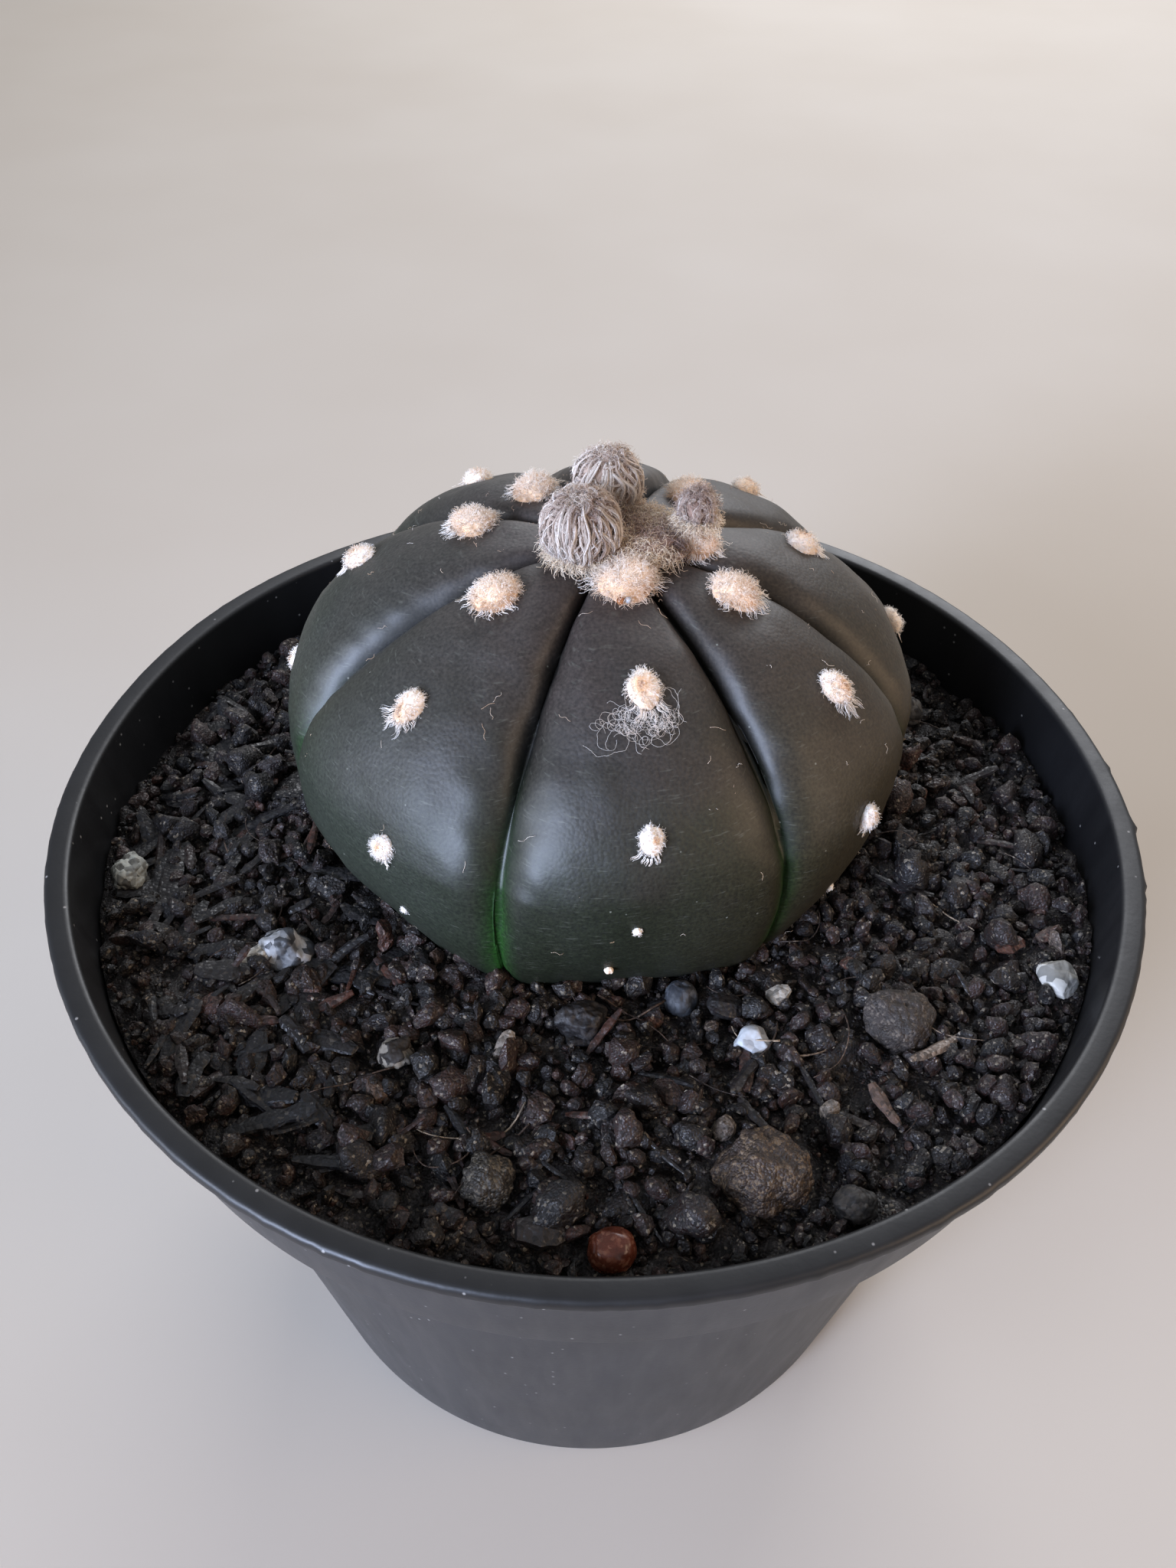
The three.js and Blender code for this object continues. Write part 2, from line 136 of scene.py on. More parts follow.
def random_turns(rng, count):
    """Rotation matrices spread evenly over all turns, from random unit quaternions."""
    w, x, y, z = unit(rng.normal(size=(count, 4))).T
    return np.stack([
        np.stack([1 - 2 * (y * y + z * z), 2 * (x * y - z * w), 2 * (x * z + y * w)], -1),
        np.stack([2 * (x * y + z * w), 1 - 2 * (x * x + z * z), 2 * (y * z - x * w)], -1),
        np.stack([2 * (x * z - y * w), 2 * (y * z + x * w), 1 - 2 * (x * x + y * y)], -1),
    ], -2)


def shape(points, faces, **attributes):
    """A surface as a dictionary: points, a list of face arrays, and one number per point each."""
    values = {key: np.broadcast_to(value, len(points)) for key, value in attributes.items()}
    return {"points": points, "faces": faces, "attributes": values}


def joined(shapes):
    """Several surfaces as one, each keeping its own points."""
    starts = np.cumsum([0] + [len(each["points"]) for each in shapes])
    faces = [face + start for each, start in zip(shapes, starts) for face in each["faces"]]
    keys = shapes[0]["attributes"]
    values = {key: np.concatenate([each["attributes"][key] for each in shapes]) for key in keys}
    return {
        "points": np.concatenate([each["points"] for each in shapes]),
        "faces": faces,
        "attributes": values,
    }


def grid_faces(rows, columns):
    """Four-sided faces of a grid of points, row by row, its last column joined to its first."""
    row, column = np.meshgrid(np.arange(rows - 1), np.arange(columns), indexing="ij")
    after = (column + 1) % columns
    corners = [row * columns + column, (row + 1) * columns + column]
    corners += [(row + 1) * columns + after, row * columns + after]
    return np.stack(corners, -1).reshape(-1, 4)


def closed_grid(grid):
    """A closed surface from rows of points that go round anticlockwise and run down from pole to pole.

    The first and last rows are a pole each: their points are one point, with a fan of triangles.
    """
    rows, columns = grid.shape[:2]
    body = grid[1:-1].reshape(-1, 3)
    points = np.vstack([body, grid[:1].mean(axis=1), grid[-1:].mean(axis=1)])
    column = np.arange(columns)
    after = (column + 1) % columns
    top = np.full(columns, len(body))
    last_row = (rows - 3) * columns
    fans = np.vstack([
        np.stack([top, column, after], -1),
        np.stack([top + 1, last_row + after, last_row + column], -1),
    ])
    return points, [grid_faces(rows - 2, columns), fans]


def pole_values(values):
    """One value per point of closed_grid from values on the whole grid."""
    return np.concatenate([values[1:-1].ravel(), [values[0].mean(), values[-1].mean()]])


def turned_profile(radii, heights, columns, wobble):
    """A profile turned about the Z axis: each (radius, height) becomes a ring of points.

    wobble takes the angles, radii and heights, and returns what is added to each radius and height.
    """
    angle = np.arange(columns) * TURN / columns
    radius = np.repeat(np.asarray(radii, float)[:, None], columns, 1)
    height = np.repeat(np.asarray(heights, float)[:, None], columns, 1)
    out, up = wobble(angle, radius, height)
    radius, height = radius + out, height + up
    return np.stack([radius * np.cos(angle), radius * np.sin(angle), height], -1)


CORNER_STEPS = 4


def round_corner(corner, before, after, radius):
    """Points that round a corner: a quadratic curve between two points cut back from it."""
    corner, before, after = (np.asarray(point, float) for point in (corner, before, after))
    start = corner + unit(before - corner) * radius
    end = corner + unit(after - corner) * radius
    t = np.linspace(0, 1, CORNER_STEPS + 1)[:, None]
    return (1 - t) ** 2 * start + 2 * t * (1 - t) * corner + t ** 2 * end


def rounded_outline(corners):
    """An open outline of (x, y, rounding) corners with each inner corner rounded, as an array."""
    points = [np.asarray(corners[0][:2], float)[None]]
    for index in range(1, len(corners) - 1):
        here, rounding = corners[index][:2], corners[index][2]
        if rounding:
            points.append(round_corner(here, corners[index - 1][:2], corners[index + 1][:2], rounding))
        else:
            points.append(np.asarray(here, float)[None])
    points.append(np.asarray(corners[-1][:2], float)[None])
    return np.concatenate(points)


def tubes(paths, radii, sides=3, **attributes):
    """Tapered tubes along paths: a ring of points, square to the path, about each of its points.

    paths is strands by points by 3, and radii is strands by points. Both ends are closed.
    """
    strands, length = paths.shape[:2]
    tangent = unit(np.gradient(paths, axis=1))
    whole = unit(paths[:, -1] - paths[:, 0])
    helper = unit(np.cross(whole, whole[:, [1, 2, 0]] + 0.1))[:, None]
    side = unit(np.cross(tangent, np.broadcast_to(helper, tangent.shape)))
    lift = np.cross(tangent, side)
    angle = np.arange(sides) * TURN / sides
    ring = side[:, :, None] * np.cos(angle)[:, None] + lift[:, :, None] * np.sin(angle)[:, None]
    points = paths[:, :, None] + ring * radii[..., None, None]
    one = grid_faces(length, sides)[:, [0, 3, 2, 1]]
    starts = np.arange(strands)[:, None, None] * length * sides
    walls = (one[None] + starts).reshape(-1, 4)
    first = np.arange(sides)
    ends = np.stack([first[::-1], first + (length - 1) * sides])
    caps = (ends[None] + starts).reshape(-1, sides)
    values = {key: np.repeat(np.broadcast_to(value, (strands, length)).reshape(-1), sides)
              for key, value in attributes.items()}
    return {"points": points.reshape(-1, 3), "faces": [walls, caps], "attributes": values}


def add_piece(name, surface, material, slot, replaces=(), flat=False):
    """Makes a surface a Blender object in metres that rides on the pot and stands for CAD nodes."""
    mesh = bpy.data.meshes.new(name)
    points = surface["points"] * MM
    faces = surface["faces"]
    loops = np.concatenate([face.ravel() for face in faces])
    sizes = np.concatenate([np.full(len(face), face.shape[1]) for face in faces])
    mesh.vertices.add(len(points))
    mesh.vertices.foreach_set("co", points.astype(np.float32).ravel())
    mesh.loops.add(len(loops))
    mesh.loops.foreach_set("vertex_index", loops.astype(np.int32))
    mesh.polygons.add(len(sizes))
    mesh.polygons.foreach_set("loop_start", (np.cumsum(sizes) - sizes).astype(np.int32))
    mesh.polygons.foreach_set("use_smooth", np.full(len(sizes), not flat))
    mesh.update(calc_edges=True)
    for key, values in surface["attributes"].items():
        layer = mesh.attributes.new(key, "FLOAT", "POINT")
        layer.data.foreach_set("value", np.ascontiguousarray(values, dtype=np.float32))
    mesh.materials.append(material)
    piece = bpy.data.objects.new(name, mesh)
    bpy.context.scene.collection.objects.link(piece)
    if slot:
        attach(piece, "root")
    if replaces:
        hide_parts(*replaces)
    return piece


# ---- Materials ----


def linear(hex_colour):
    """An sRGB hex colour as the linear one that shaders take."""
    parts = [int(hex_colour[i:i + 2], 16) / 255 for i in (1, 3, 5)]
    return tuple(c / 12.92 if c <= 0.04045 else ((c + 0.055) / 1.055) ** 2.4 for c in parts) + (1.0,)


def add(tree, kind, inputs=None, stops=None, **settings):
    """Adds a shader node: settings are its own options, inputs its sockets' values or links.

    stops, on a colour ramp, are (position, hex colour) pairs.
    """
    made = tree.nodes.new("ShaderNode" + kind)
    for key, value in settings.items():
        setattr(made, key, value)
    for key, value in (inputs or {}).items():
        if isinstance(value, bpy.types.NodeSocket):
            tree.links.new(value, made.inputs[key])
        else:
            made.inputs[key].default_value = value
    if stops:
        while len(made.color_ramp.elements) < len(stops):
            made.color_ramp.elements.new(0.5)
        for element, (position, colour) in zip(made.color_ramp.elements, stops):
            element.position = position
            element.color = linear(colour)
    return made


def new_material(name):
    """A new material with an empty node tree, and the tree."""
    material = bpy.data.materials.new(name)
    material.use_nodes = True
    material.node_tree.nodes.clear()
    return material, material.node_tree


def finish_material(tree, inputs):
    """Adds the surface shader with its inputs and the output."""
    shader = add(tree, "BsdfPrincipled", inputs)
    add(tree, "OutputMaterial", {"Surface": shader.outputs["BSDF"]})


def per_mm(size):
    """The scale of a pattern on coordinates in metres whose features are this many millimetres wide."""
    return 1 / (size * MM)


def black_polypropylene():
    """Injection-moulded black polypropylene: a soft sheen, flow marks, fine scuffs and pale dust.

    The outside is paler than the inside and the lip's top: partly pale dust on the outside, and
    painted shade that darkens the inside.
    """
    material, tree = new_material("black polypropylene, moulded")
    place = add(tree, "TexCoord").outputs["Object"]
    outside = add(tree, "Attribute", attribute_name="outside").outputs["Fac"]
    facing = add(tree, "SeparateXYZ", {"Vector": add(tree, "NewGeometry").outputs["Normal"]})
    cloud = add(tree, "TexNoise", {"Vector": place, "Scale": per_mm(14), "Detail": 4.0})
    grain = add(tree, "TexNoise", {"Vector": place, "Scale": per_mm(0.5), "Detail": 3.0})
    squeezed = add(tree, "Mapping", {"Vector": place, "Scale": (1.0, 1.0, 0.12)})
    flow = add(tree, "TexNoise", {"Vector": squeezed.outputs[0], "Scale": per_mm(2.5), "Detail": 5.0})
    # Painted shade: the inside and the lip's top take the darker colour; the outside takes the paler,
    # dusty one.
    base = add(tree, "ValToRGB", {"Fac": outside}, stops=[(0.0, "#0a0a0c"), (1.0, "#232325")])
    uneven = add(tree, "MapRange", {"Value": cloud.outputs["Fac"], "From Min": 0.3, "From Max": 0.7,
                                    "To Min": 0.8, "To Max": 1.2})
    toned = add(tree, "Mix", {"Factor": 1.0, 6: base.outputs["Color"], 7: uneven.outputs[0]},
                data_type="RGBA", blend_type="MULTIPLY")
    # Dust gathers where the plastic faces up, in specks about a third of a millimetre wide.
    specks = add(tree, "TexVoronoi", {"Vector": place, "Scale": per_mm(1.0)})
    small = add(tree, "MapRange", {"Value": specks.outputs["Distance"], "From Min": 0.18,
                                   "From Max": 0.08, "To Min": 0.0, "To Max": 1.0})
    pick = add(tree, "SeparateColor", {"Color": specks.outputs["Color"]})
    some = add(tree, "Math", {0: pick.outputs[0], 1: 0.9}, operation="GREATER_THAN")
    speck = add(tree, "Math", {0: small.outputs[0], 1: some.outputs[0]}, operation="MULTIPLY")
    film = add(tree, "MapRange", {"Value": facing.outputs["Z"], "From Min": -0.2, "From Max": 1.0,
                                  "To Min": 0.01, "To Max": 0.03})
    haze = add(tree, "Math", {0: film.outputs[0], 1: cloud.outputs["Fac"]}, operation="MULTIPLY")
    dusty = add(tree, "Math", {0: speck.outputs[0], 1: haze.outputs[0]}, operation="MAXIMUM")
    colour = add(tree, "Mix", {"Factor": dusty.outputs[0], 6: toned.outputs[2],
                               7: linear("#7d7a77")}, data_type="RGBA")
    rough = add(tree, "MapRange", {"Value": flow.outputs["Fac"], "To Min": 0.36, "To Max": 0.58})
    bump = add(tree, "Bump", {"Height": grain.outputs["Fac"], "Strength": 0.25, "Distance": 0.05 * MM})
    marks = add(tree, "Bump", {"Height": flow.outputs["Fac"], "Strength": 0.3,
                               "Distance": 0.08 * MM, "Normal": bump.outputs["Normal"]})
    finish_material(tree, {"Base Color": colour.outputs[2], "Roughness": rough.outputs[0],
                           "IOR": 1.49, "Normal": marks.outputs["Normal"]})
    return material


def cactus_epidermis():
    """Living cactus skin: dark green under a thin grey-brown waxy bloom, fine leathery grain.

    The bloom hides the green on top and wears off lower down. The creases are painted near black as
    shade in the upper part and dark green lower down. The right side carries a painted warm light and
    the left a painted cool light. The grain lies on the ribs' faces and fades on their smooth flanks.
    """
    material, tree = new_material("cactus epidermis, waxy")
    place = add(tree, "TexCoord").outputs["Object"]
    crease = add(tree, "Attribute", attribute_name="crease").outputs["Fac"]
    flank = add(tree, "Attribute", attribute_name="flank").outputs["Fac"]
    down = add(tree, "Attribute", attribute_name="down").outputs["Fac"]
    axes = add(tree, "SeparateXYZ", {"Vector": place})
    patches = add(tree, "TexNoise", {"Vector": place, "Scale": per_mm(8), "Detail": 5.0})
    shifted = add(tree, "MapRange", {"Value": down, "From Min": 0.02, "From Max": 0.52})
    centred = add(tree, "Math", {0: patches.outputs["Fac"], 1: 0.5}, operation="SUBTRACT")
    mottled = add(tree, "Math", {0: centred.outputs[0], 1: 0.5, 2: shifted.outputs[0]},
                  operation="MULTIPLY_ADD")
    bloom = add(tree, "ValToRGB", {"Fac": mottled.outputs[0]},
                stops=[(0.05, "#38302d"), (0.35, "#282420"), (0.6, "#1b1e13"), (0.95, "#13190c")])
    # Painted light: the right side is tinted warm for the warm light from the right, and the left side
    # cool grey-green for the cool light from the left.
    warm_light_share = add(tree, "MapRange", {"Value": axes.outputs["X"], "From Min": 0.002, "From Max": 0.03,
                                  "To Min": 0.0, "To Max": 0.6})
    painted_warm_light = add(tree, "Mix", {"Factor": warm_light_share.outputs[0], 6: bloom.outputs["Color"],
                               7: linear("#372f20")}, data_type="RGBA")
    cool_light_share = add(tree, "MapRange", {"Value": axes.outputs["X"], "From Min": 0.0, "From Max": -0.028,
                                  "To Min": 0.0, "To Max": 0.4})
    shaded = add(tree, "Mix", {"Factor": cool_light_share.outputs[0], 6: painted_warm_light.outputs[2],
                               7: linear("#2b3129")}, data_type="RGBA")
    # Painted shade: in the creases the colour goes near black in the upper part, where shade falls, and
    # dark green lower down.
    green = add(tree, "ValToRGB", {"Fac": down},
                stops=[(0.2, "#0a0a07"), (0.3, "#101f0a"), (0.5, "#204f16")])
    inside = add(tree, "MapRange", {"Value": crease, "From Min": 0.12, "From Max": 0.8, "To Max": 0.95})
    creased_shade_and_green = add(tree, "Mix", {"Factor": inside.outputs[0], 6: shaded.outputs[2],
                                7: green.outputs["Color"]}, data_type="RGBA")
    # Grains of the skin are about a third of a millimetre wide, and each is a low dome.
    grain = add(tree, "TexVoronoi", {"Vector": place, "Scale": per_mm(0.36)})
    fine = add(tree, "TexNoise", {"Vector": place, "Scale": per_mm(0.3), "Detail": 3.0})
    tint = add(tree, "MapRange", {"Value": fine.outputs["Fac"], "From Min": 0.3, "From Max": 0.7,
                                  "To Min": 0.55, "To Max": 1.45})
    toned = add(tree, "Mix", {"Factor": 1.0, 6: creased_shade_and_green.outputs[2], 7: tint.outputs[0]},
                data_type="RGBA", blend_type="MULTIPLY")
    # White flecks are single tufts of down, 0.15 mm wide and thinly scattered.
    fleck = add(tree, "TexVoronoi", {"Vector": place, "Scale": per_mm(1.5)})
    dots = add(tree, "MapRange", {"Value": fleck.outputs["Distance"], "From Min": 0.08,
                                  "From Max": 0.04})
    chance = add(tree, "SeparateColor", {"Color": fleck.outputs["Color"]})
    few = add(tree, "Math", {0: chance.outputs[0], 1: 0.84}, operation="GREATER_THAN")
    shown = add(tree, "Math", {0: dots.outputs[0], 1: few.outputs[0]}, operation="MULTIPLY")
    # Faint scratches run across the ribs, a millimetre or two long and a tenth wide.
    flat = add(tree, "Mapping", {"Vector": place, "Scale": (1.0, 1.0, 9.0)})
    lines = add(tree, "TexNoise", {"Vector": flat.outputs[0], "Scale": per_mm(1.3), "Detail": 1.0})
    scratch = add(tree, "MapRange", {"Value": lines.outputs["Fac"], "From Min": 0.64, "From Max": 0.78,
                                     "To Min": 0.0, "To Max": 0.22})
    marked = add(tree, "Math", {0: shown.outputs[0], 1: scratch.outputs[0]}, operation="MAXIMUM")
    flecked = add(tree, "Mix", {"Factor": marked.outputs[0], 6: toned.outputs[2],
                                7: linear("#6b6c62")}, data_type="RGBA")
    # The flanks are smooth and shine; the grained faces are matt.
    rough = add(tree, "MapRange", {"Value": flank, "To Min": 0.56, "To Max": 0.46})
    strength = add(tree, "MapRange", {"Value": flank, "To Min": 0.7, "To Max": 0.15})
    pits = add(tree, "Bump", {"Height": grain.outputs["Distance"], "Strength": strength.outputs[0],
                              "Distance": 0.036 * MM}, invert=True)
    relief = add(tree, "Bump", {"Height": fine.outputs["Fac"], "Strength": strength.outputs[0],
                                "Distance": 0.016 * MM, "Normal": pits.outputs["Normal"]})
    finish_material(tree, {"Base Color": flecked.outputs[2], "Roughness": rough.outputs[0],
                           "IOR": 1.45, "Normal": relief.outputs["Normal"]})
    return material


def plant_wool(name, stops):
    """Felted plant hair: its colour goes by the tone of each strand, with a soft matt sheen."""
    material, tree = new_material(name)
    tone = add(tree, "Attribute", attribute_name="tone").outputs["Fac"]
    place = add(tree, "TexCoord").outputs["Object"]
    streak = add(tree, "TexNoise", {"Vector": place, "Scale": per_mm(0.6), "Detail": 2.0})
    mixed = add(tree, "Math", {0: streak.outputs["Fac"], 1: 0.25, 2: tone}, operation="MULTIPLY_ADD")
    level = add(tree, "Math", {0: mixed.outputs[0], 1: 0.125}, operation="SUBTRACT")
    colour = add(tree, "ValToRGB", {"Fac": level.outputs[0]}, stops=stops)
    bump = add(tree, "Bump", {"Height": streak.outputs["Fac"], "Strength": 0.4, "Distance": 0.05 * MM})
    finish_material(tree, {"Base Color": colour.outputs["Color"], "Roughness": 0.9, "IOR": 1.4,
                           "Subsurface Weight": 0.25, "Subsurface Radius": (1.0, 0.7, 0.5),
                           "Subsurface Scale": 0.4 * MM, "Sheen Weight": 0.25,
                           "Sheen Roughness": 0.6, "Normal": bump.outputs["Normal"]})
    return material


def crumbs(name, stops, grain_mm, roughness, bump_mm, glints=1.0):
    """Mineral or bark crumbs: each has its own tone, and a crust of grains, of which a few carry painted
    glints.
    """
    material, tree = new_material(name)
    place = add(tree, "TexCoord").outputs["Object"]
    tone = add(tree, "Attribute", attribute_name="tone").outputs["Fac"]
    colour = add(tree, "ValToRGB", {"Fac": tone}, stops=stops)
    coarse = add(tree, "TexNoise", {"Vector": place, "Scale": per_mm(4 * grain_mm), "Detail": 6.0,
                                    "Roughness": 0.6})
    cells = add(tree, "TexVoronoi", {"Vector": place, "Scale": per_mm(grain_mm)})
    pick = add(tree, "SeparateColor", {"Color": cells.outputs["Color"]})
    patchy = add(tree, "Math", {0: pick.outputs[1], 1: coarse.outputs["Fac"]}, operation="ADD")
    shade = add(tree, "MapRange", {"Value": patchy.outputs[0], "From Min": 0.5, "From Max": 1.5,
                                   "To Min": 0.35, "To Max": 1.6})
    shaded = add(tree, "Mix", {"Factor": 1.0, 6: colour.outputs["Color"], 7: shade.outputs[0]},
                 data_type="RGBA", blend_type="MULTIPLY")
    # Painted glints: a few rare grains are mixed towards a pale colour, standing in for highlights.
    bright = add(tree, "Math", {0: pick.outputs[0], 1: 26.0}, operation="POWER")
    glint = add(tree, "Math", {0: bright.outputs[0], 1: 0.55 * glints}, operation="MULTIPLY")
    painted_glint_colour = add(tree, "Mix", {"Factor": glint.outputs[0], 6: shaded.outputs[2],
                               7: linear("#a89b88")}, data_type="RGBA")
    rough = add(tree, "MapRange", {"Value": patchy.outputs[0], "From Min": 0.5, "From Max": 1.5,
                                   "To Min": roughness + 0.25, "To Max": roughness - 0.2})
    bump = add(tree, "Bump", {"Height": coarse.outputs["Fac"], "Strength": 0.8,
                              "Distance": 2 * bump_mm * MM})
    crust = add(tree, "Bump", {"Height": cells.outputs["Distance"], "Strength": 0.8,
                               "Distance": bump_mm * MM, "Normal": bump.outputs["Normal"]}, invert=True)
    finish_material(tree, {"Base Color": painted_glint_colour.outputs[2], "Roughness": rough.outputs[0],
                           "Specular IOR Level": 0.5, "Normal": crust.outputs["Normal"]})
    return material


def speckled_stone(name, dark, pale, speck_mm, share, roughness, bump_mm):
    """A pebble of two minerals: pale grains of a set size and share in a mottled dark ground."""
    material, tree = new_material(name)
    place = add(tree, "TexCoord").outputs["Object"]
    cells = add(tree, "TexVoronoi", {"Vector": place, "Scale": per_mm(speck_mm)})
    pick = add(tree, "SeparateColor", {"Color": cells.outputs["Color"]})
    cloud = add(tree, "TexNoise", {"Vector": place, "Scale": per_mm(5 * speck_mm), "Detail": 6.0,
                                   "Roughness": 0.6})
    patchy = add(tree, "Math", {0: cloud.outputs["Fac"], 1: 0.9, 2: pick.outputs[0]},
                 operation="MULTIPLY_ADD")
    level = 1.45 - share
    grainy = add(tree, "MapRange", {"Value": patchy.outputs[0], "From Min": level - 0.25,
                                    "From Max": level + 0.3, "To Min": 0.0, "To Max": 1.0})
    ground = add(tree, "MapRange", {"Value": cloud.outputs["Fac"], "From Min": 0.3, "From Max": 0.7,
                                    "To Min": 0.5, "To Max": 1.5})
    toned = add(tree, "Mix", {"Factor": 1.0, 6: linear(dark), 7: ground.outputs[0]},
                data_type="RGBA", blend_type="MULTIPLY")
    colour = add(tree, "Mix", {"Factor": grainy.outputs[0], 6: toned.outputs[2], 7: linear(pale)},
                 data_type="RGBA")
    pits = add(tree, "Bump", {"Height": cloud.outputs["Fac"], "Strength": 0.6,
                              "Distance": 3 * bump_mm * MM})
    bump = add(tree, "Bump", {"Height": cells.outputs["Distance"], "Strength": 0.8,
                              "Distance": bump_mm * MM, "Normal": pits.outputs["Normal"]}, invert=True)
    rough = add(tree, "MapRange", {"Value": cloud.outputs["Fac"], "From Min": 0.3, "From Max": 0.7,
                                   "To Min": roughness - 0.12, "To Max": roughness + 0.12})
    finish_material(tree, {"Base Color": colour.outputs[2], "Roughness": rough.outputs[0],
                           "Normal": bump.outputs["Normal"]})
    return material


def nectar(name, dark, pale):
    """A bead of plant nectar: clear, with a sharp highlight, tinted unevenly between two colours."""
    material, tree = new_material(name)
    place = add(tree, "TexCoord").outputs["Object"]
    cloud = add(tree, "TexNoise", {"Vector": place, "Scale": per_mm(0.6)})
    colour = add(tree, "ValToRGB", {"Fac": cloud.outputs["Fac"]}, stops=[(0.35, dark), (0.65, pale)])
    finish_material(tree, {"Base Color": colour.outputs["Color"], "Roughness": 0.05, "IOR": 1.45,
                           "Transmission Weight": 0.5})
    return material


# ---- Pot ----


def pot_inside(z):
    """The inside radius of the pot's wall at a height."""
    rise = np.clip((z - SHOULDER_Z) / (COLLAR_HEIGHT - LIP_THICKNESS), 0, 1)
    taper = np.clip(z / (SHOULDER_Z - SHOULDER_DROP), 0, 1)
    above = COLLAR_BOTTOM - WALL + COLLAR_DRAFT * rise
    below = BASE_RADIUS - WALL + (TAPER_TOP - BASE_RADIUS) * taper
    return np.where(z >= SHOULDER_Z, above, below)


def lip_wobble(angle, radius, height):
    """The lip is a little out of round and carries short burrs of flash along its outer edge."""
    ring = np.stack([np.cos(angle), np.sin(angle), 0 * angle], -1)
    high = smooth(SHOULDER_Z, POT_TOP, height)
    edge = np.exp(-((radius - RIM_RADIUS) / 0.25) ** 2) * smooth(POT_TOP - 2, POT_TOP - 1, height)
    burrs = np.maximum(ripple(ring * RIM_RADIUS, 3.0, 3, 24) - 1.1, 0) * 0.35
    nicks = ripple(ring * RIM_RADIUS, 1.2, 4, 24) * 0.03
    sway = ripple(ring * RIM_RADIUS, 60.0, 5, 6) * 0.12
    return edge * (burrs + nicks) + high * sway, high * sway * 0.4


def plate(outline, centre, radius, low, high):
    """A flat plate with a round hole: each point of its outline is joined to one on the hole.

    Top, outer edge, underside and the hole's wall are four bands between four closed lines.
    """
    spokes = outline - centre
    angle = np.arctan2(spokes[:, 1], spokes[:, 0])
    hole = centre + radius * np.stack([np.cos(angle), np.sin(angle)], -1)
    shares = np.array([0, 0.12, 0.5, 1.0])[:, None, None]
    top = hole + (outline - hole) * shares
    rings = np.concatenate([top, top[::-1], top[:1]])
    heights = np.repeat([high] * 4 + [low] * 4 + [high], len(outline)).reshape(len(rings), -1, 1)
    grid = np.concatenate([rings, heights], -1)
    return shape(grid.reshape(-1, 3), [grid_faces(len(rings), len(outline))], outside=0)


def make_pot(material):
    """The pot: a closed profile turned about the axis, and a floor of plates with drainage holes."""
    under_lip = POT_TOP - LIP_THICKNESS
    floor_edge = float(pot_inside(np.array(FLOOR_TOP))) - 0.2
    foot_in = BASE_RADIUS - FOOT_WIDTH
    floor_corner = (floor_edge, (FLOOR_TOP + FOOT_HEIGHT) / 2, 0)
    corners = [
        floor_corner,
        (floor_edge, FOOT_HEIGHT, 0.05),
        (foot_in - 0.9, FOOT_HEIGHT, 0.4),
        (foot_in, 0, 0.5),
        (BASE_RADIUS, 0, 1.0),
        (TAPER_TOP, SHOULDER_Z - SHOULDER_DROP, 0.5),
        (COLLAR_BOTTOM, SHOULDER_Z - 0.3, 0.5),
        (COLLAR_TOP, under_lip, 0.25),
        (RIM_RADIUS, under_lip, 0.5),
        (RIM_RADIUS, POT_TOP, 0.6),
        (COLLAR_TOP - WALL, POT_TOP, 0.55),
        (COLLAR_BOTTOM - WALL, SHOULDER_Z, 0.4),
        (TAPER_TOP - WALL, SHOULDER_Z - SHOULDER_DROP, 0.5),
        (float(pot_inside(np.array(FLOOR_TOP))), FLOOR_TOP, 0.4),
        (floor_edge, FLOOR_TOP, 0),
        floor_corner,
    ]
    outline = rounded_outline(corners)
    # Long straight stretches get more rings, so that the sway of the wall is smooth.
    fine = [outline[:1]]
    for start, end in zip(outline[:-1], outline[1:]):
        steps = max(1, int(np.linalg.norm(end - start) / 4))
        fine.append(start + (end - start) * (np.arange(1, steps + 1) / steps)[:, None])
    outline = np.concatenate(fine)
    columns = 384
    rings = turned_profile(outline[:-1, 0], outline[:-1, 1], columns, lip_wobble)
    rings = np.concatenate([rings, rings[:1]])
    rows = len(rings)
    walls = grid_faces(rows, columns)[:, [0, 3, 2, 1]]
    walls = walls % ((rows - 1) * columns)
    points = rings[:-1].reshape(-1, 3)
    # Points of the inside and the lip's top are marked 0 for the darker colour, which is painted shade on
    # the inside.
    outside = np.hypot(points[:, 0], points[:, 1]) > pot_inside(points[:, 2]) + 0.6 * WALL
    outside = outside * (1 - smooth(POT_TOP - 1.6, POT_TOP - 0.6, points[:, 2]))
    parts = [shape(points, [walls], outside=outside)]
    angle = np.arange(96) * TURN / 96
    disc = MIDDLE_PLATE * np.stack([np.cos(angle), np.sin(angle)], -1)
    parts.append(plate(disc, np.zeros(2), HOLE_RADIUS, FOOT_HEIGHT, FLOOR_TOP))
    for number in range(HOLE_COUNT):
        middle = number * TURN / HOLE_COUNT
        spread = np.linspace(-0.5, 0.5, 33) * TURN / HOLE_COUNT + middle
        arc = np.stack([np.cos(spread), np.sin(spread)], -1)
        side = np.linspace(0, 1, 9)[1:-1, None]
        outer, inner = arc * floor_edge, arc[::-1] * MIDDLE_PLATE
        ring = [outer, outer[-1] + (inner[0] - outer[-1]) * side]
        ring += [inner, inner[-1] + (outer[0] - inner[-1]) * side]
        centre = HOLE_CIRCLE * np.array([math.cos(middle), math.sin(middle)])
        parts.append(plate(np.concatenate(ring), centre, HOLE_RADIUS, FOOT_HEIGHT, FLOOR_TOP))
    add_piece("nursery_pot", joined(parts), material, "pot_plastic", ["pot"])


# ---- Plant ----


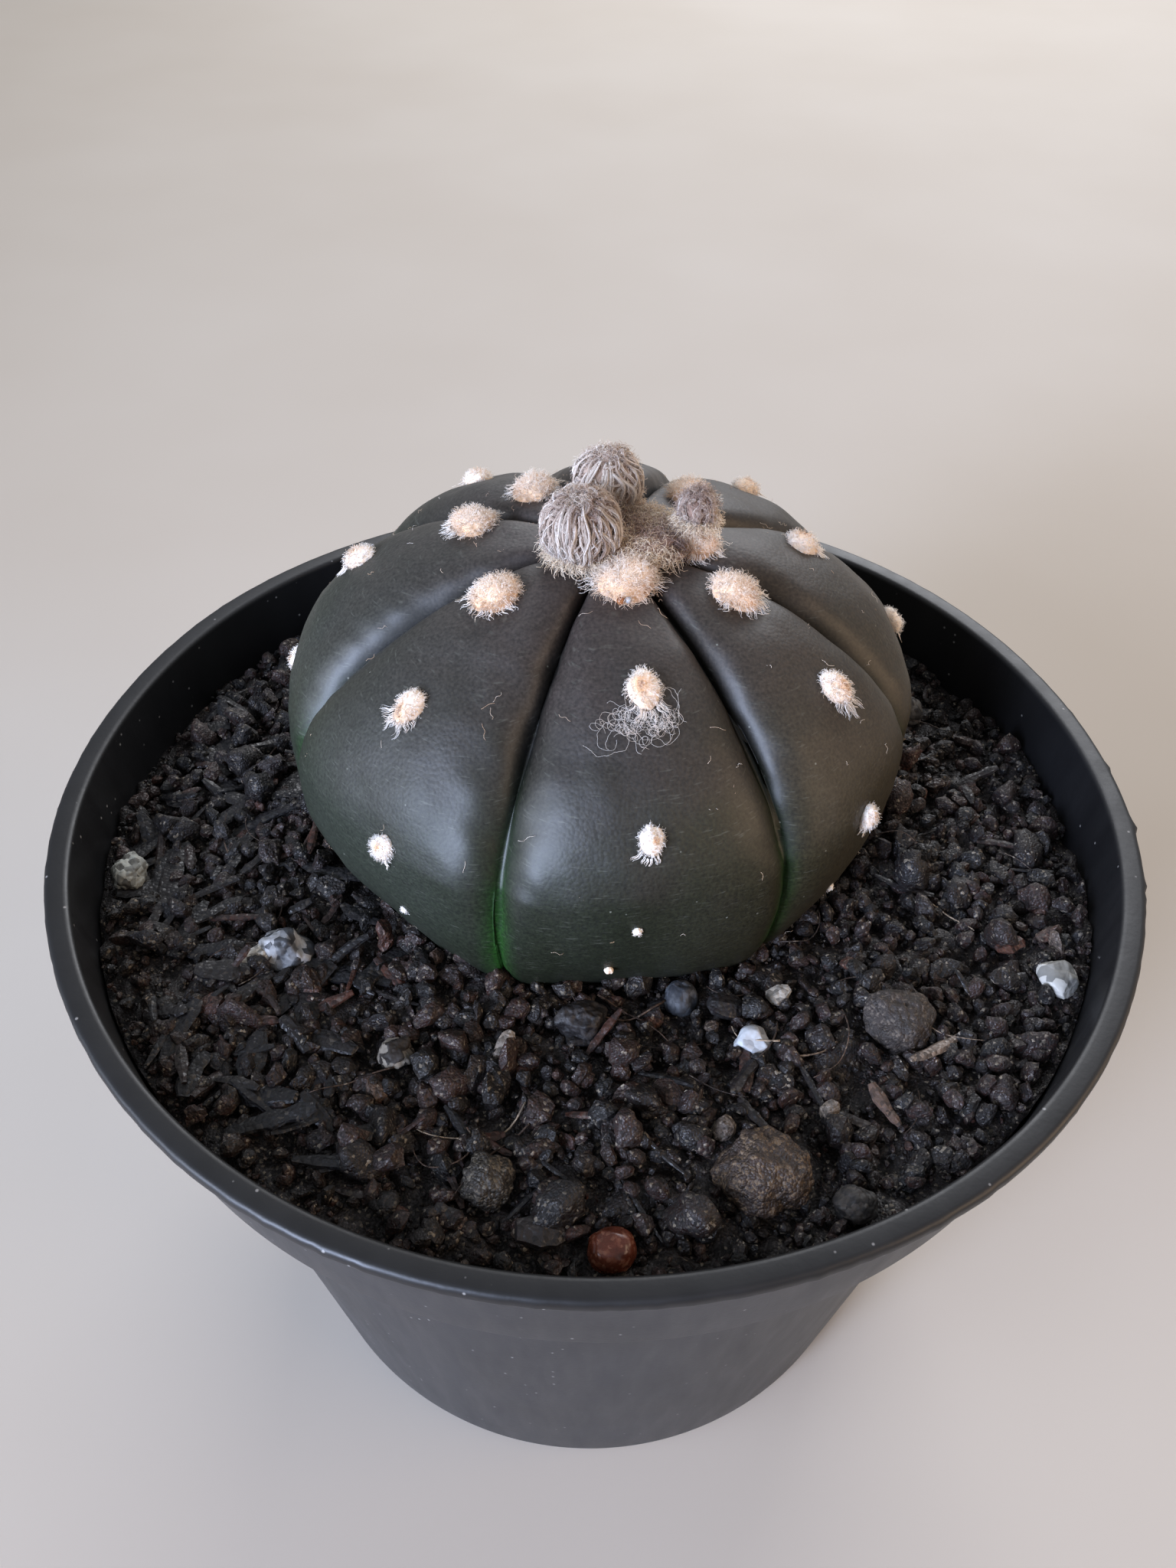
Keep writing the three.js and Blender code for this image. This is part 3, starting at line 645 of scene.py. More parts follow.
def meridian(t):
    """The side view of the plant as (radius, height), t 0 at the apex, 1 the equator, 2 the base.

    Above and below the equator it is a quarter of a superellipse, with a dimple at the apex;
    from 2 to 3 it is the neck, which narrows to a round tip.
    """
    quarter = math.pi / 2
    upper = np.clip(t, 0, 1) * quarter
    r_up = PLANT_RADIUS * np.sin(upper) ** (2 / UPPER_FULLNESS)
    z_up = EQUATOR_Z + APEX_RISE * np.maximum(np.cos(upper), 0) ** (2 / UPPER_FULLNESS)
    z_up = z_up - DIMPLE_DEPTH * np.exp(-((r_up / DIMPLE_RADIUS) ** 2))
    lower = (np.clip(t, 1, 2) - 1) * quarter
    c = np.maximum(np.cos(lower), 0) ** (2 / LOWER_FULLNESS)
    r_low = PLANT_RADIUS * c + NECK_RADIUS * (1 - c) ** 3
    z_low = EQUATOR_Z - BASE_DROP * np.sin(lower) ** (2 / LOWER_FULLNESS)
    q = np.clip(t - 2, 0, 1)
    r_neck = NECK_RADIUS * (1 - 0.3 * q) * np.sqrt(1 - q ** 4)
    z_neck = EQUATOR_Z - BASE_DROP - NECK_LENGTH * q
    r = np.where(t <= 1, r_up, np.where(t <= 2, r_low, r_neck))
    z = np.where(t <= 1, z_up, np.where(t <= 2, z_low, z_neck))
    return r, z


def meridian_normal(t):
    """The direction square to the side view's line, out of the plant, as (radius, height)."""
    r0, z0 = meridian(np.maximum(t - 0.01, 0))
    r1, z1 = meridian(np.minimum(t + 0.01, 3))
    length = np.hypot(r1 - r0, z1 - z0)
    return (z0 - z1) / length, (r1 - r0) / length


def skin_points(rib, across, t, offset=0.0):
    """Points on the ribbed skin; across is -1 and 1 at a rib's grooves and 0 on its middle.

    The radius of the side view grows as 1 / cos of the angle from the rib's middle, more or less
    so with a flatness that rises downwards, and a crease falls off as exp away from each groove.
    """
    starts = FIRST_GROOVE + np.concatenate([[0], np.cumsum(RIB_WIDTHS)[:-1]])
    half = RIB_WIDTHS[rib] / 2
    r, z = meridian(t)
    normal_r, normal_z = meridian_normal(t)
    buried = 1 - smooth(1.7, 2, t)
    flatness = (2.4 * smooth(0.1, 1.5, t) - 1.5) * buried
    facing = 1 + flatness * (1 / np.cos(np.radians(across * half)) - 1)
    depth = GROOVE_DEPTH * np.minimum(t / 0.2, 1) ** 0.7 * (1 - 0.25 * t) * buried
    crease = depth * np.exp((np.abs(across) - 1) / GROOVE_SHARPNESS) - offset
    r = np.maximum(r * facing - crease * normal_r, 0)
    z = z - crease * normal_z
    angle = np.radians(starts[rib] + half * (1 + across) + LOWER_TWIST * np.clip(t - 1, 0, 1))
    lean = np.maximum(1 - t, 0)[..., None] ** 1.5
    upright = np.stack([r * np.cos(angle), r * np.sin(angle) + PLANT_BACK, z], -1)
    return upright + CROWN_SHIFT * lean


AREOLES = [name for name in NODES if name.startswith("areole_")]
AREOLE_BOXES = {name: node_box(name) for name in AREOLES}


def skin_normals(grid):
    """Normals of a closed grid of points from the cross product of its two directions."""
    down = np.gradient(grid, axis=0)
    round_it = np.roll(grid, -1, axis=1) - np.roll(grid, 1, axis=1)
    return unit(np.cross(down, round_it))


def plant_grid():
    """The skin on a grid of t by columns, with its across and t values.

    Columns crowd towards the grooves as a sine, and rows are closest where the skin shows.
    """
    per_rib = 42
    step = np.arange(per_rib) / per_rib * 2 - 1
    across = np.tile(np.sin(step * math.pi / 2), RIB_COUNT)
    rib = np.repeat(np.arange(RIB_COUNT), per_rib)
    t = np.concatenate([np.linspace(0, 1.75, 200)[:-1], np.linspace(1.75, 3, 22)])
    t, across = np.meshgrid(t, across, indexing="ij")
    rib = np.broadcast_to(rib, t.shape)
    return skin_points(rib, across, t), across, t


PLANT_GRID, PLANT_ACROSS, PLANT_T = plant_grid()
PLANT_NORMALS = skin_normals(PLANT_GRID)


def make_plant(material):
    """The cactus body: the ribbed skin with soft unevenness and a shallow seat at each areole."""
    grid = PLANT_GRID
    uneven = 0.12 * ripple(grid, 11.0, 11) + 0.04 * ripple(grid, 3.0, 12)
    uneven = uneven * smooth(0.05, 0.25, PLANT_T)
    for low, high in AREOLE_BOXES.values():
        width = (high - low).max()
        distance = np.linalg.norm(grid - (low + high) / 2, axis=-1)
        uneven = uneven - 0.08 * width * np.exp(-((distance / (0.7 * width)) ** 2))
    side = np.abs(PLANT_ACROSS)
    # Each flank is a smooth roll along the groove; a tuck sets it off from the rib's face low down.
    foot = smooth(0.95, 1.35, PLANT_T)
    tuck = np.exp(-(((side - 0.62 + 0.1 * foot) / 0.07) ** 2)) * (0.15 + 1.2 * foot)
    roll = np.exp(-(((side - 0.82) / 0.12) ** 2)) - tuck
    strength = 0.5 + 0.35 * ripple(grid / np.array([1, 1, 3.0]), 16.0, 13, 8)
    middle = smooth(0.35, 0.9, PLANT_T) * (1 - smooth(1.4, 1.6, PLANT_T))
    uneven = uneven + (0.11 * roll * strength - 0.2 * np.exp((side - 1) / 0.1)) * middle
    crease = np.exp((side - 1) / 0.07)
    grid = grid + PLANT_NORMALS * uneven[..., None]
    points, faces = closed_grid(grid)
    surface = shape(points, faces, crease=pole_values(crease), down=pole_values(PLANT_T) / 3,
                    flank=pole_values(smooth(0.45, 0.8, side)))
    add_piece("cactus_stem", surface, material, "cactus_skin", ["cactus_body"])


def skin_near(point):
    """The skin's point and normal nearest to a point."""
    distance = np.linalg.norm(PLANT_GRID - point, axis=-1)
    index = np.unravel_index(distance.argmin(), distance.shape)
    return PLANT_GRID[index], PLANT_NORMALS[index]


# ---- Wool ----


def curly_strands(rng, roots, headings, lengths, curl, fall, points=6):
    """Paths of curly hairs: along the heading, falling with the square of the way, in a helix.

    The helix's radius grows to curl along the way and each hair has its own phase and pitch.
    """
    count = len(roots)
    s = np.linspace(0, 1, points)
    side = unit(np.cross(headings, rng.normal(size=(count, 3))))
    other = np.cross(headings, side)
    phase = rng.uniform(0, TURN, (count, 1))
    turns = rng.uniform(0.5, 1.6, (count, 1)) * TURN
    swing = curl * (s * (1.6 - 0.6 * s))
    wave_a = (np.cos(turns * s + phase) - np.cos(phase)) * swing
    wave_b = (np.sin(turns * s + phase) - np.sin(phase)) * swing
    way = lengths[:, None] * s
    drop = fall * lengths[:, None] * s ** 2
    return (roots[:, None] + headings[:, None] * way[..., None] + side[:, None] * wave_a[..., None]
            + other[:, None] * wave_b[..., None] + np.array([0, 0, -1.0]) * drop[..., None])


def dome_directions(rng, count, lowest):
    """Directions spread evenly over a dome, as local (sideways, downhill, outward) parts."""
    out = rng.uniform(lowest, 1, count)
    angle = rng.uniform(0, TURN, count)
    flat = np.sqrt(1 - out ** 2)
    return np.stack([flat * np.cos(angle), flat * np.sin(angle), out], -1)


TUFT_STYLES = [
    # Newest to oldest on a rib. breadth, length and rise are shares of the tuft's CAD width. hairs is
    # for a tuft of the usual width, and lock_aim is how far round from downhill the locks hang.
    {"breadth": 1.0, "length": 1.12, "rise": 0.78, "age": 0.5, "spot_depth": 0.12, "spot_width": 0.03,
     "lock_aim": 1.9, "longest_lock": 0.32, "locks": 26, "lock_hairs": 3, "hairs": 1100, "usual_mm": 4.6},
    {"breadth": 1.02, "length": 1.38, "rise": 0.85, "age": 0.72, "spot_depth": 0.52, "spot_width": 0.1,
     "lock_aim": 1.1, "longest_lock": 0.5, "locks": 9, "lock_hairs": 7, "hairs": 600, "usual_mm": 3.4},
    {"breadth": 1.0, "length": 1.35, "rise": 0.9, "age": 0.85, "spot_depth": 0.6, "spot_width": 0.05,
     "lock_aim": 1.0, "longest_lock": 0.5, "locks": 4, "lock_hairs": 7, "hairs": 380, "usual_mm": 2.6},
    {"breadth": 0.9, "length": 1.0, "rise": 0.9, "age": 0.88, "spot_depth": 0.0, "spot_width": 0.03,
     "lock_aim": 1.0, "longest_lock": 0.4, "locks": 1, "lock_hairs": 5, "hairs": 50, "usual_mm": 1.2},
]


def tuft(rng, node, order):
    """One areole's wool: a lumpy felt dome, short hairs all over it, and locks hanging from its edge.

    The dome is painted whitest where it faces up, as painted light from above, and has a brown spot
    near its middle; order is 0 for the rib's newest tuft. A lock's hairs start close together and run out
    to one tip in a wave.
    """
    low, high = AREOLE_BOXES[node]
    foot, normal = skin_near((low + high) / 2)
    style = TUFT_STYLES[order]
    width = (high - low).max()
    downhill = unit(np.array([0, 0, -1.0]) + normal * normal[2])
    sideways = np.cross(downhill, normal)
    axes = np.stack([sideways, downhill, normal])
    breadth = style["breadth"] * rng.uniform(0.92, 1.04)
    length = style["length"] * rng.uniform(0.94, 1.06)
    radii = 0.5 * width * np.array([breadth, length, style["rise"]])
    spot = unit(np.array([rng.normal(0, 0.2), rng.normal(0, 0.2), 1]))

    def tones(inner):
        """The tone of the felt by direction from the dome's middle."""
        # Painted light: the felt is lighter where it faces up, towards the light above; the brown spot is
        # the wool's own colour.
        up = unit(inner) @ axes @ np.array([0, 0, 1.0])
        away = 1 - unit(inner) @ spot
        spotted = style["spot_depth"] * np.exp(-away / style["spot_width"])
        return style["age"] + 0.22 * up * (1 if order == 0 else 0.5) - spotted

    ball, faces = icosphere(3)
    lump_seed = int(rng.integers(1e6))
    felt = 0.8 + 0.08 * ripple(ball, 1.2, lump_seed) + 0.03 * ripple(ball, 0.35, lump_seed + 1)
    parts = [shape(foot + (ball * felt[:, None] * radii) @ axes, [faces], tone=tones(ball) - 0.1)]
    hairs = int(style["hairs"] * (width / style["usual_mm"]) ** 1.5)
    inner = dome_directions(rng, hairs, -0.1)
    lift = 0.8 + 0.08 * ripple(inner, 1.2, lump_seed)
    roots = foot + (inner * 0.95 * lift[:, None] * radii) @ axes
    lean = rng.normal(scale=0.45, size=inner.shape) + np.array([0, 0.2, 0])
    headings = unit(inner + lean) @ axes
    lengths = width * rng.uniform(0.07, 0.22, hairs)
    paths = curly_strands(rng, roots, headings, lengths, 0.035 * width, 0.15, 5)
    tone = tones(inner)[:, None] + rng.normal(scale=0.1, size=(hairs, 1))
    thick = rng.uniform(0.015, 0.028, (hairs, 1)) * np.linspace(1, 0.5, 5)
    parts.append(tubes(paths, thick, tone=np.clip(tone, 0, 1) + 0.1 * np.linspace(0, 1, 5)))
    locks, each, widest = style["locks"], style["lock_hairs"], style["lock_aim"]
    aim = rng.uniform(-widest, widest, (locks, 1)) + rng.normal(scale=0.12, size=(locks, each))
    rim = np.stack([np.sin(aim), np.cos(aim), 0.12 + 0.1 * rng.uniform(size=aim.shape)], -1)
    reach = rng.uniform(0.12, style["longest_lock"], (locks, 1)) * width
    tips = reach * rng.uniform(0.7, 1.1, (locks, each))
    wave_size = rng.uniform(0.03, 0.09, (locks, 1)) * width
    s = np.linspace(0, 1, 9)
    phase = rng.uniform(0, TURN, (locks, 1, 1)) + rng.normal(scale=0.3, size=(locks, each, 1))
    swing = wave_size[..., None] * np.sin(phase + s * rng.uniform(4, 9, (locks, 1, 1))) * s
    mean_aim = aim.mean(axis=1, keepdims=True)
    along = np.stack([np.sin(mean_aim), np.cos(mean_aim), -0.1 + 0 * mean_aim], -1)
    across = np.stack([np.cos(mean_aim), -np.sin(mean_aim), 0 * mean_aim], -1)
    start = rim * radii * 0.93
    local = (start[:, :, None] + along[:, :, None] * (tips[..., None] * s)[..., None]
             + across[:, :, None] * swing[..., None])
    local[..., 2] = np.maximum(local[..., 2] * (1 - 0.6 * s), 0.08)
    paths = foot + local.reshape(-1, 9, 3) @ axes
    thick = rng.uniform(0.02, 0.035, (len(paths), 1)) * np.linspace(1, 0.4, 9)
    parts.append(tubes(paths, thick, tone=rng.uniform(0.7, 1.0, (len(paths), 1))))
    return joined(parts)


def make_tufts(material):
    """One piece of wool for each rib, standing for that rib's four areoles."""
    for rib in range(1, RIB_COUNT + 1):
        rng = np.random.default_rng(100 + rib)
        nodes = [name for name in AREOLES if name.startswith(f"areole_{rib}_")]
        parts = [tuft(rng, node, order) for order, node in enumerate(nodes)]
        add_piece(f"areole_wool_{rib}", joined(parts), material, "cream_wool", nodes)


def egg_points(centre, radius, height, angle, up):
    """Points on a bud's egg: up is 0 at its foot and 1 at its tip, widest below the middle."""
    polar = (1 - up) * math.pi
    r = radius * np.sin(polar) ** 0.8 * (0.92 + 0.12 * (1 - up))
    z = -np.cos(up * math.pi) * height / 2
    return centre + np.stack([r * np.cos(angle), r * np.sin(angle), z], -1)


def make_bud(name, node, seed, locks, material, skirt, shade):
    """A woolly bud: a scaly brown egg under wavy locks that hang down its sides, tangled on top.

    A lock follows the egg from its start to its end with a sideways wave. Its hairs keep to it,
    spread evenly over its width, and draw together at its tip.
    """
    rng = np.random.default_rng(seed)
    low, high = node_box(node)
    centre = (low + high) / 2
    radius = (high - low)[:2].max() / 2 * 0.88
    height = (high - low)[2] * 0.88
    centre[2] = low[2] + 0.3 + height / 2
    angle = np.arange(40) * TURN / 40
    up = np.linspace(1, 0, 26)
    angle_grid, up_grid = np.meshgrid(angle, up)

    def lumpy(points):
        """The points moved in and out from the bud's middle, in soft lumps."""
        return centre + (points - centre) * (1 + 0.05 * ripple(points, 2.4, seed))[..., None]

    core = lumpy(egg_points(centre, radius * 0.93, height * 0.95, angle_grid, up_grid))
    points, faces = closed_grid(core)
    parts = [shape(points, faces, tone=0.42 + shade)]
    fuzz = locks * 15
    roots = lumpy(egg_points(centre, radius * 0.95, height * 0.97, rng.uniform(0, TURN, fuzz),
                             rng.uniform(0.05, 0.98, fuzz)))
    headings = unit(unit(roots - centre) * 0.6 + rng.normal(scale=0.6, size=roots.shape))
    paths = curly_strands(rng, roots, headings, rng.uniform(0.3, 1.1, fuzz), 0.25, 0.15)
    tone = shade + rng.normal(0.5, 0.12, (fuzz, 1)) + 0.14 * ripple(roots, 2.2, seed + 1)[:, None]
    thick = rng.uniform(0.022, 0.038, (fuzz, 1)) * np.linspace(1, 0.5, 6)
    parts.append(tubes(paths, thick, tone=tone + np.zeros(6)))
    each = 13
    s = np.linspace(0, 1, 10)
    hanging = rng.uniform(size=locks) < 0.8
    start_up = np.where(hanging, rng.uniform(0.6, 0.95, locks), rng.uniform(0.5, 0.97, locks))
    end_up = np.where(hanging, rng.uniform(0.12, 0.4, locks), start_up + rng.uniform(-0.2, 0.1, locks))
    start_angle = rng.uniform(0, TURN, locks)
    turn = np.where(hanging, rng.normal(0, 0.3, locks),
                    rng.choice([-1, 1], locks) * rng.uniform(0.3, 0.9, locks))
    wave = rng.uniform(0.05, 0.16, (locks, 1)) * np.sin(
        rng.uniform(0, TURN, (locks, 1)) + s * rng.uniform(5, 10, (locks, 1)))
    lock_angle = start_angle[:, None] + turn[:, None] * s + wave
    lock_up = start_up[:, None] + (end_up - start_up)[:, None] * s
    spread = rng.uniform(-1, 1, (locks, each))
    half_width = rng.uniform(0.12, 0.26, (locks, 1)) / radius
    fan = (0.35 + 0.75 * np.sin(s * math.pi) ** 0.7)
    offset = (spread * half_width)[..., None] * fan
    ring = np.maximum(np.sin(np.clip(lock_up, 0.05, 0.95) * math.pi), 0.25)
    across = np.where(hanging, 1.0, 0.3)[:, None, None] / ring[:, None]
    along = np.where(hanging, 0.05, 0.3)[:, None, None]
    strand_angle = lock_angle[:, None] + offset * across
    strand_up = np.clip(lock_up[:, None] + offset * along, 0.03, 0.985)
    paths = lumpy(egg_points(centre, radius, height, strand_angle, strand_up))
    # A lock is a low mound across its width, and its hairs are darker in the valleys, as painted shade.
    round_lock = np.sqrt(np.maximum(1 - spread ** 2, 0))
    mound = rng.uniform(0.03, 0.12, (locks, 1, 1)) * round_lock[..., None] * np.sin(s * math.pi) ** 0.5
    loose = 0.05 * rng.uniform(size=(locks, each, 1)) * s
    ends = -0.05 * (s < 0.05)
    paths = centre + (paths - centre) * (1.0 + mound + loose + ends)[..., None]
    low_lock = np.where(hanging, 0.3 * (1 - start_up), 0)[:, None]
    tone = shade + rng.normal(0.56, 0.1, (locks, 1)) + low_lock + 0.1 * round_lock
    tone = (tone + rng.normal(scale=0.07, size=tone.shape))[..., None] + 0.08 * s
    thick = rng.uniform(0.02, 0.036, (locks, each, 1)) * np.linspace(1, 0.55, 10)
    strands = tubes(paths.reshape(-1, 10, 3), thick.reshape(-1, 10), tone=tone.reshape(-1, 10))
    parts.append(strands)
    add_piece(name, joined(parts), material, "grey_wool", [node])
    return skirt_wool(rng, centre, radius, height, skirt)


def skirt_wool(rng, centre, radius, height, hairs):
    """A skirt of wool about a bud's foot: hairs that leave it low down and lean outwards."""
    angle = rng.uniform(0, TURN, hairs)
    out = np.stack([np.cos(angle), np.sin(angle), np.zeros(hairs)], -1)
    roots = centre + out * radius * rng.uniform(0.55, 0.9, (hairs, 1))
    roots[:, 2] = centre[2] - height * rng.uniform(0.3, 0.5, hairs)
    headings = unit(out + np.array([0, 0, 0.15]) + rng.normal(scale=0.35, size=(hairs, 3)))
    lengths = rng.uniform(0.5, 1.5, hairs)
    paths = curly_strands(rng, roots, headings, lengths, 0.25, 0.35)
    tone = np.clip(rng.normal(0.72, 0.12, (hairs, 1)), 0, 1)
    thick = rng.uniform(0.022, 0.04, (hairs, 1)) * np.linspace(1, 0.5, 6)
    return tubes(paths, thick, tone=tone + np.zeros(6))


def make_crown(material, skirts):
    """The woolly growing point: a low felt pad and tangled hairs over it, with the buds' skirts."""
    rng = np.random.default_rng(7)
    low, high = node_box("crown_wool")
    centre = (low + high) / 2
    radii = (high - low) / 2
    angle = np.arange(48) * TURN / 48
    polar = np.linspace(0, math.pi, 16)
    ball = np.stack([
        np.sin(polar)[:, None] * np.cos(angle),
        np.sin(polar)[:, None] * np.sin(angle),
        np.repeat(np.cos(polar)[:, None], 48, 1),
    ], -1)
    pad = centre + ball * radii * np.array([0.95, 0.95, 0.8]) * (
        1 + 0.1 * ripple(ball, 0.8, 8))[..., None]
    points, faces = closed_grid(pad)
    parts = [shape(points, faces, tone=0.3)]
    hairs = 2400
    spots = dome_directions(rng, hairs, 0.15)
    roots = centre + spots * radii * np.array([0.95, 0.95, 0.85])
    headings = unit(spots * 0.6 + rng.normal(scale=0.6, size=spots.shape))
    headings[:, 2] = np.abs(headings[:, 2]) * 0.8
    lengths = rng.uniform(0.6, 2.2, hairs)
    paths = curly_strands(rng, roots, headings, lengths, 0.5, 0.3, 9)
    patch = ripple(roots, 2.6, 9) * 0.24
    edge = np.hypot(spots[:, 0], spots[:, 1]) ** 3 * 0.3
    tone = 0.34 + (patch + edge)[:, None] + rng.normal(scale=0.13, size=(hairs, 1))
    thick = rng.uniform(0.022, 0.04, (hairs, 1)) * np.linspace(1, 0.5, 9)
    parts.append(tubes(paths, thick, tone=tone + np.zeros(9)))
    parts.extend(skirts)
    add_piece("crown_felt", joined(parts), material, "cream_wool", ["crown_wool"])


def make_nectar():
    """Two beads of nectar, amber and clear, at the lower edge of the front rib's newest areole."""
    low, high = AREOLE_BOXES["areole_1_1"]
    amber = nectar("nectar, amber", "#7d4526", "#b87c50")
    clear = nectar("nectar, clear", "#b9bcc2", "#e2e4e8")
    ball, faces = icosphere(3)
    for name, x, y, radius, material in (("nectar_amber", -0.5, -0.15, 0.36, amber),
                                         ("nectar_clear", 0.2, 0.1, 0.3, clear)):
        place = np.array([(low[0] + high[0]) / 2 + x, low[1] + y, (low[2] + high[2]) / 2 - 0.3])
        foot = skin_near(place)[0]
        middle = np.array([place[0], place[1], foot[2] + 0.9 * radius])
        stretch = np.array([1, 1, 1.1])
        add_piece(name, shape(middle + ball * radius * stretch, [faces]), material, "cream_wool")


def young_areoles():
    """Specks of wool where each rib's oldest areoles have worn away, below the fourth."""
    ball, faces = icosphere(2)
    specks = []
    for number, node in enumerate(name for name in AREOLES if name.endswith("_4")):
        low, high = AREOLE_BOXES[node]
        nearest = np.linalg.norm(PLANT_GRID - (low + high) / 2, axis=-1).argmin()
        across = PLANT_ACROSS.ravel()[nearest] - 0.16
        t = PLANT_T.ravel()[nearest] + 0.15
        foot = skin_points(np.array([number]), np.array([across]), np.array([t]), 0.1)[0]
        worn = ball * 0.4 * (1 + 0.15 * ripple(ball, 0.8, number))[:, None]
        specks.append(shape(foot + worn, [faces], tone=0.7))
    return joined(specks)


def make_lint(material):
    """Loose fine hairs that lie on the skin: short ones all over, and curls under one areole.

    A curl's heading drifts at random as it goes, step by step, over the skin.
    """
    rng = np.random.default_rng(31)
    count = 170
    rib = rng.integers(0, RIB_COUNT, count)
    across = rng.uniform(-0.9, 0.9, count)
    t = rng.uniform(0.15, 1.35, count)
    roots = skin_points(rib, across, t, 0.1)
    lift = skin_points(rib, across, t, 1.1) - roots
    lengths = rng.uniform(0.4, 1.6, count)
    headings = unit(np.cross(unit(lift), rng.normal(size=(count, 3))))
    paths = curly_strands(rng, roots, headings, lengths, 0.15, 0.0, 8)
    parts = [tubes(paths, np.full((count, 8), 0.014), tone=rng.uniform(0.2, 0.8, (count, 1)))]
    low, high = AREOLE_BOXES["areole_1_2"]
    curls = 60
    steps = 34
    nearest = np.linalg.norm(PLANT_GRID - (low + high) / 2, axis=-1).argmin()
    bend = rng.choice([-1, 1], (curls, 1)) * rng.uniform(0.05, 0.45, (curls, 1))
    heading = rng.uniform(0, TURN, (curls, 1))
    heading = heading + np.cumsum(rng.normal(bend, 0.25, (curls, steps)), axis=1)
    step = rng.uniform(0.1, 0.2, (curls, 1))
    sideways = rng.normal(0, 2.2, (curls, 1)) + np.cumsum(np.cos(heading) * step, axis=1)
    downhill = rng.uniform(2.2, 4.2, (curls, 1)) + np.cumsum(np.sin(heading) * step, axis=1)
    # One unit of across is about 11 mm here, and one of t about 42 mm.
    paths = skin_points(np.zeros(heading.shape, int), PLANT_ACROSS.ravel()[nearest] + sideways / 11,
                        PLANT_T.ravel()[nearest] + downhill / 42, 0.1)
    parts.append(tubes(paths, np.full(heading.shape, 0.01), tone=rng.uniform(0.75, 1.0, (curls, 1))))
    parts.append(young_areoles())
    add_piece("skin_lint", joined(parts), material, "cream_wool")


# ---- Potting mix ----


def mix_surface(x, y):
    """The height of the mix: a slight slope to the back with low bumps, as sines of x and y."""
    bumps = np.sin(x / 5.3 + 0.4) * np.cos(y / 6.1) + 0.6 * np.sin((x - 2 * y) / 9.7)
    return MIX_LEVEL - MIX_TILT * y + MIX_BUMP * bumps


def make_ground(material):
    """The bulk of the mix: rings of points out to the pot's wall, then down it and under."""
    columns = 256
    angle = np.arange(columns) * TURN / columns
    shares = np.linspace(0, 1, 96)[:, None]
    edge = pot_inside(MIX_LEVEL - 0.7) - 0.25
    radius = shares * edge + 0 * angle
    x, y = radius * np.cos(angle), radius * np.sin(angle)
    flat = np.stack([x, y, 0 * x], -1)
    z = mix_surface(x, y) - 0.9 + 0.45 * ripple(flat, 4.0, 21) + 0.3 * ripple(flat, 1.6, 22)
    top = np.stack([x, y, z], -1)
    sides = []
    for height in (SHOULDER_Z + 1, SHOULDER_Z - SHOULDER_DROP, SHOULDER_Z / 2, FLOOR_TOP + 0.3):
        r = float(pot_inside(np.array(height))) - 0.3
        sides.append(np.stack([r * np.cos(angle), r * np.sin(angle), np.full(columns, height)], -1))
    bottom = np.zeros((1, columns, 3))
    bottom[..., 2] = FLOOR_TOP + 0.3
    points, faces = closed_grid(np.concatenate([top, sides, bottom]))
    add_piece("mix_bulk", shape(points, faces, tone=0.3), material, "potting_mix", ["potting_mix"])


def icosphere(level):
    """The points and triangles of a ball: an icosahedron whose triangles are cut in four."""
    g = (1 + math.sqrt(5)) / 2
    points = [(-1, g, 0), (1, g, 0), (-1, -g, 0), (1, -g, 0), (0, -1, g), (0, 1, g)]
    points += [(0, -1, -g), (0, 1, -g), (g, 0, -1), (g, 0, 1), (-g, 0, -1), (-g, 0, 1)]
    faces = np.array([
        (0, 11, 5), (0, 5, 1), (0, 1, 7), (0, 7, 10), (0, 10, 11), (1, 5, 9), (5, 11, 4),
        (11, 10, 2), (10, 7, 6), (7, 1, 8), (3, 9, 4), (3, 4, 2), (3, 2, 6), (3, 6, 8),
        (3, 8, 9), (4, 9, 5), (2, 4, 11), (6, 2, 10), (8, 6, 7), (9, 8, 1)])
    points = unit(np.array(points, float))
    for _ in range(level):
        corners = points[faces]
        halves = unit((corners + np.roll(corners, -1, axis=1)) / 2)
        a, b, c = corners[:, 0], corners[:, 1], corners[:, 2]
        ab, bc, ca = halves[:, 0], halves[:, 1], halves[:, 2]
        thirds = ((a, ab, ca), (ab, b, bc), (ca, bc, c), (ab, bc, ca))
        four = np.stack([np.stack(triangle, 1) for triangle in thirds], 1)
        points, inverse = np.unique(four.reshape(-1, 3).round(9), axis=0, return_inverse=True)
        faces = inverse.reshape(-1, 3)
    return points, faces


CRUMB_PLANES = 7
CRUMB_FLATNESS = 0.7


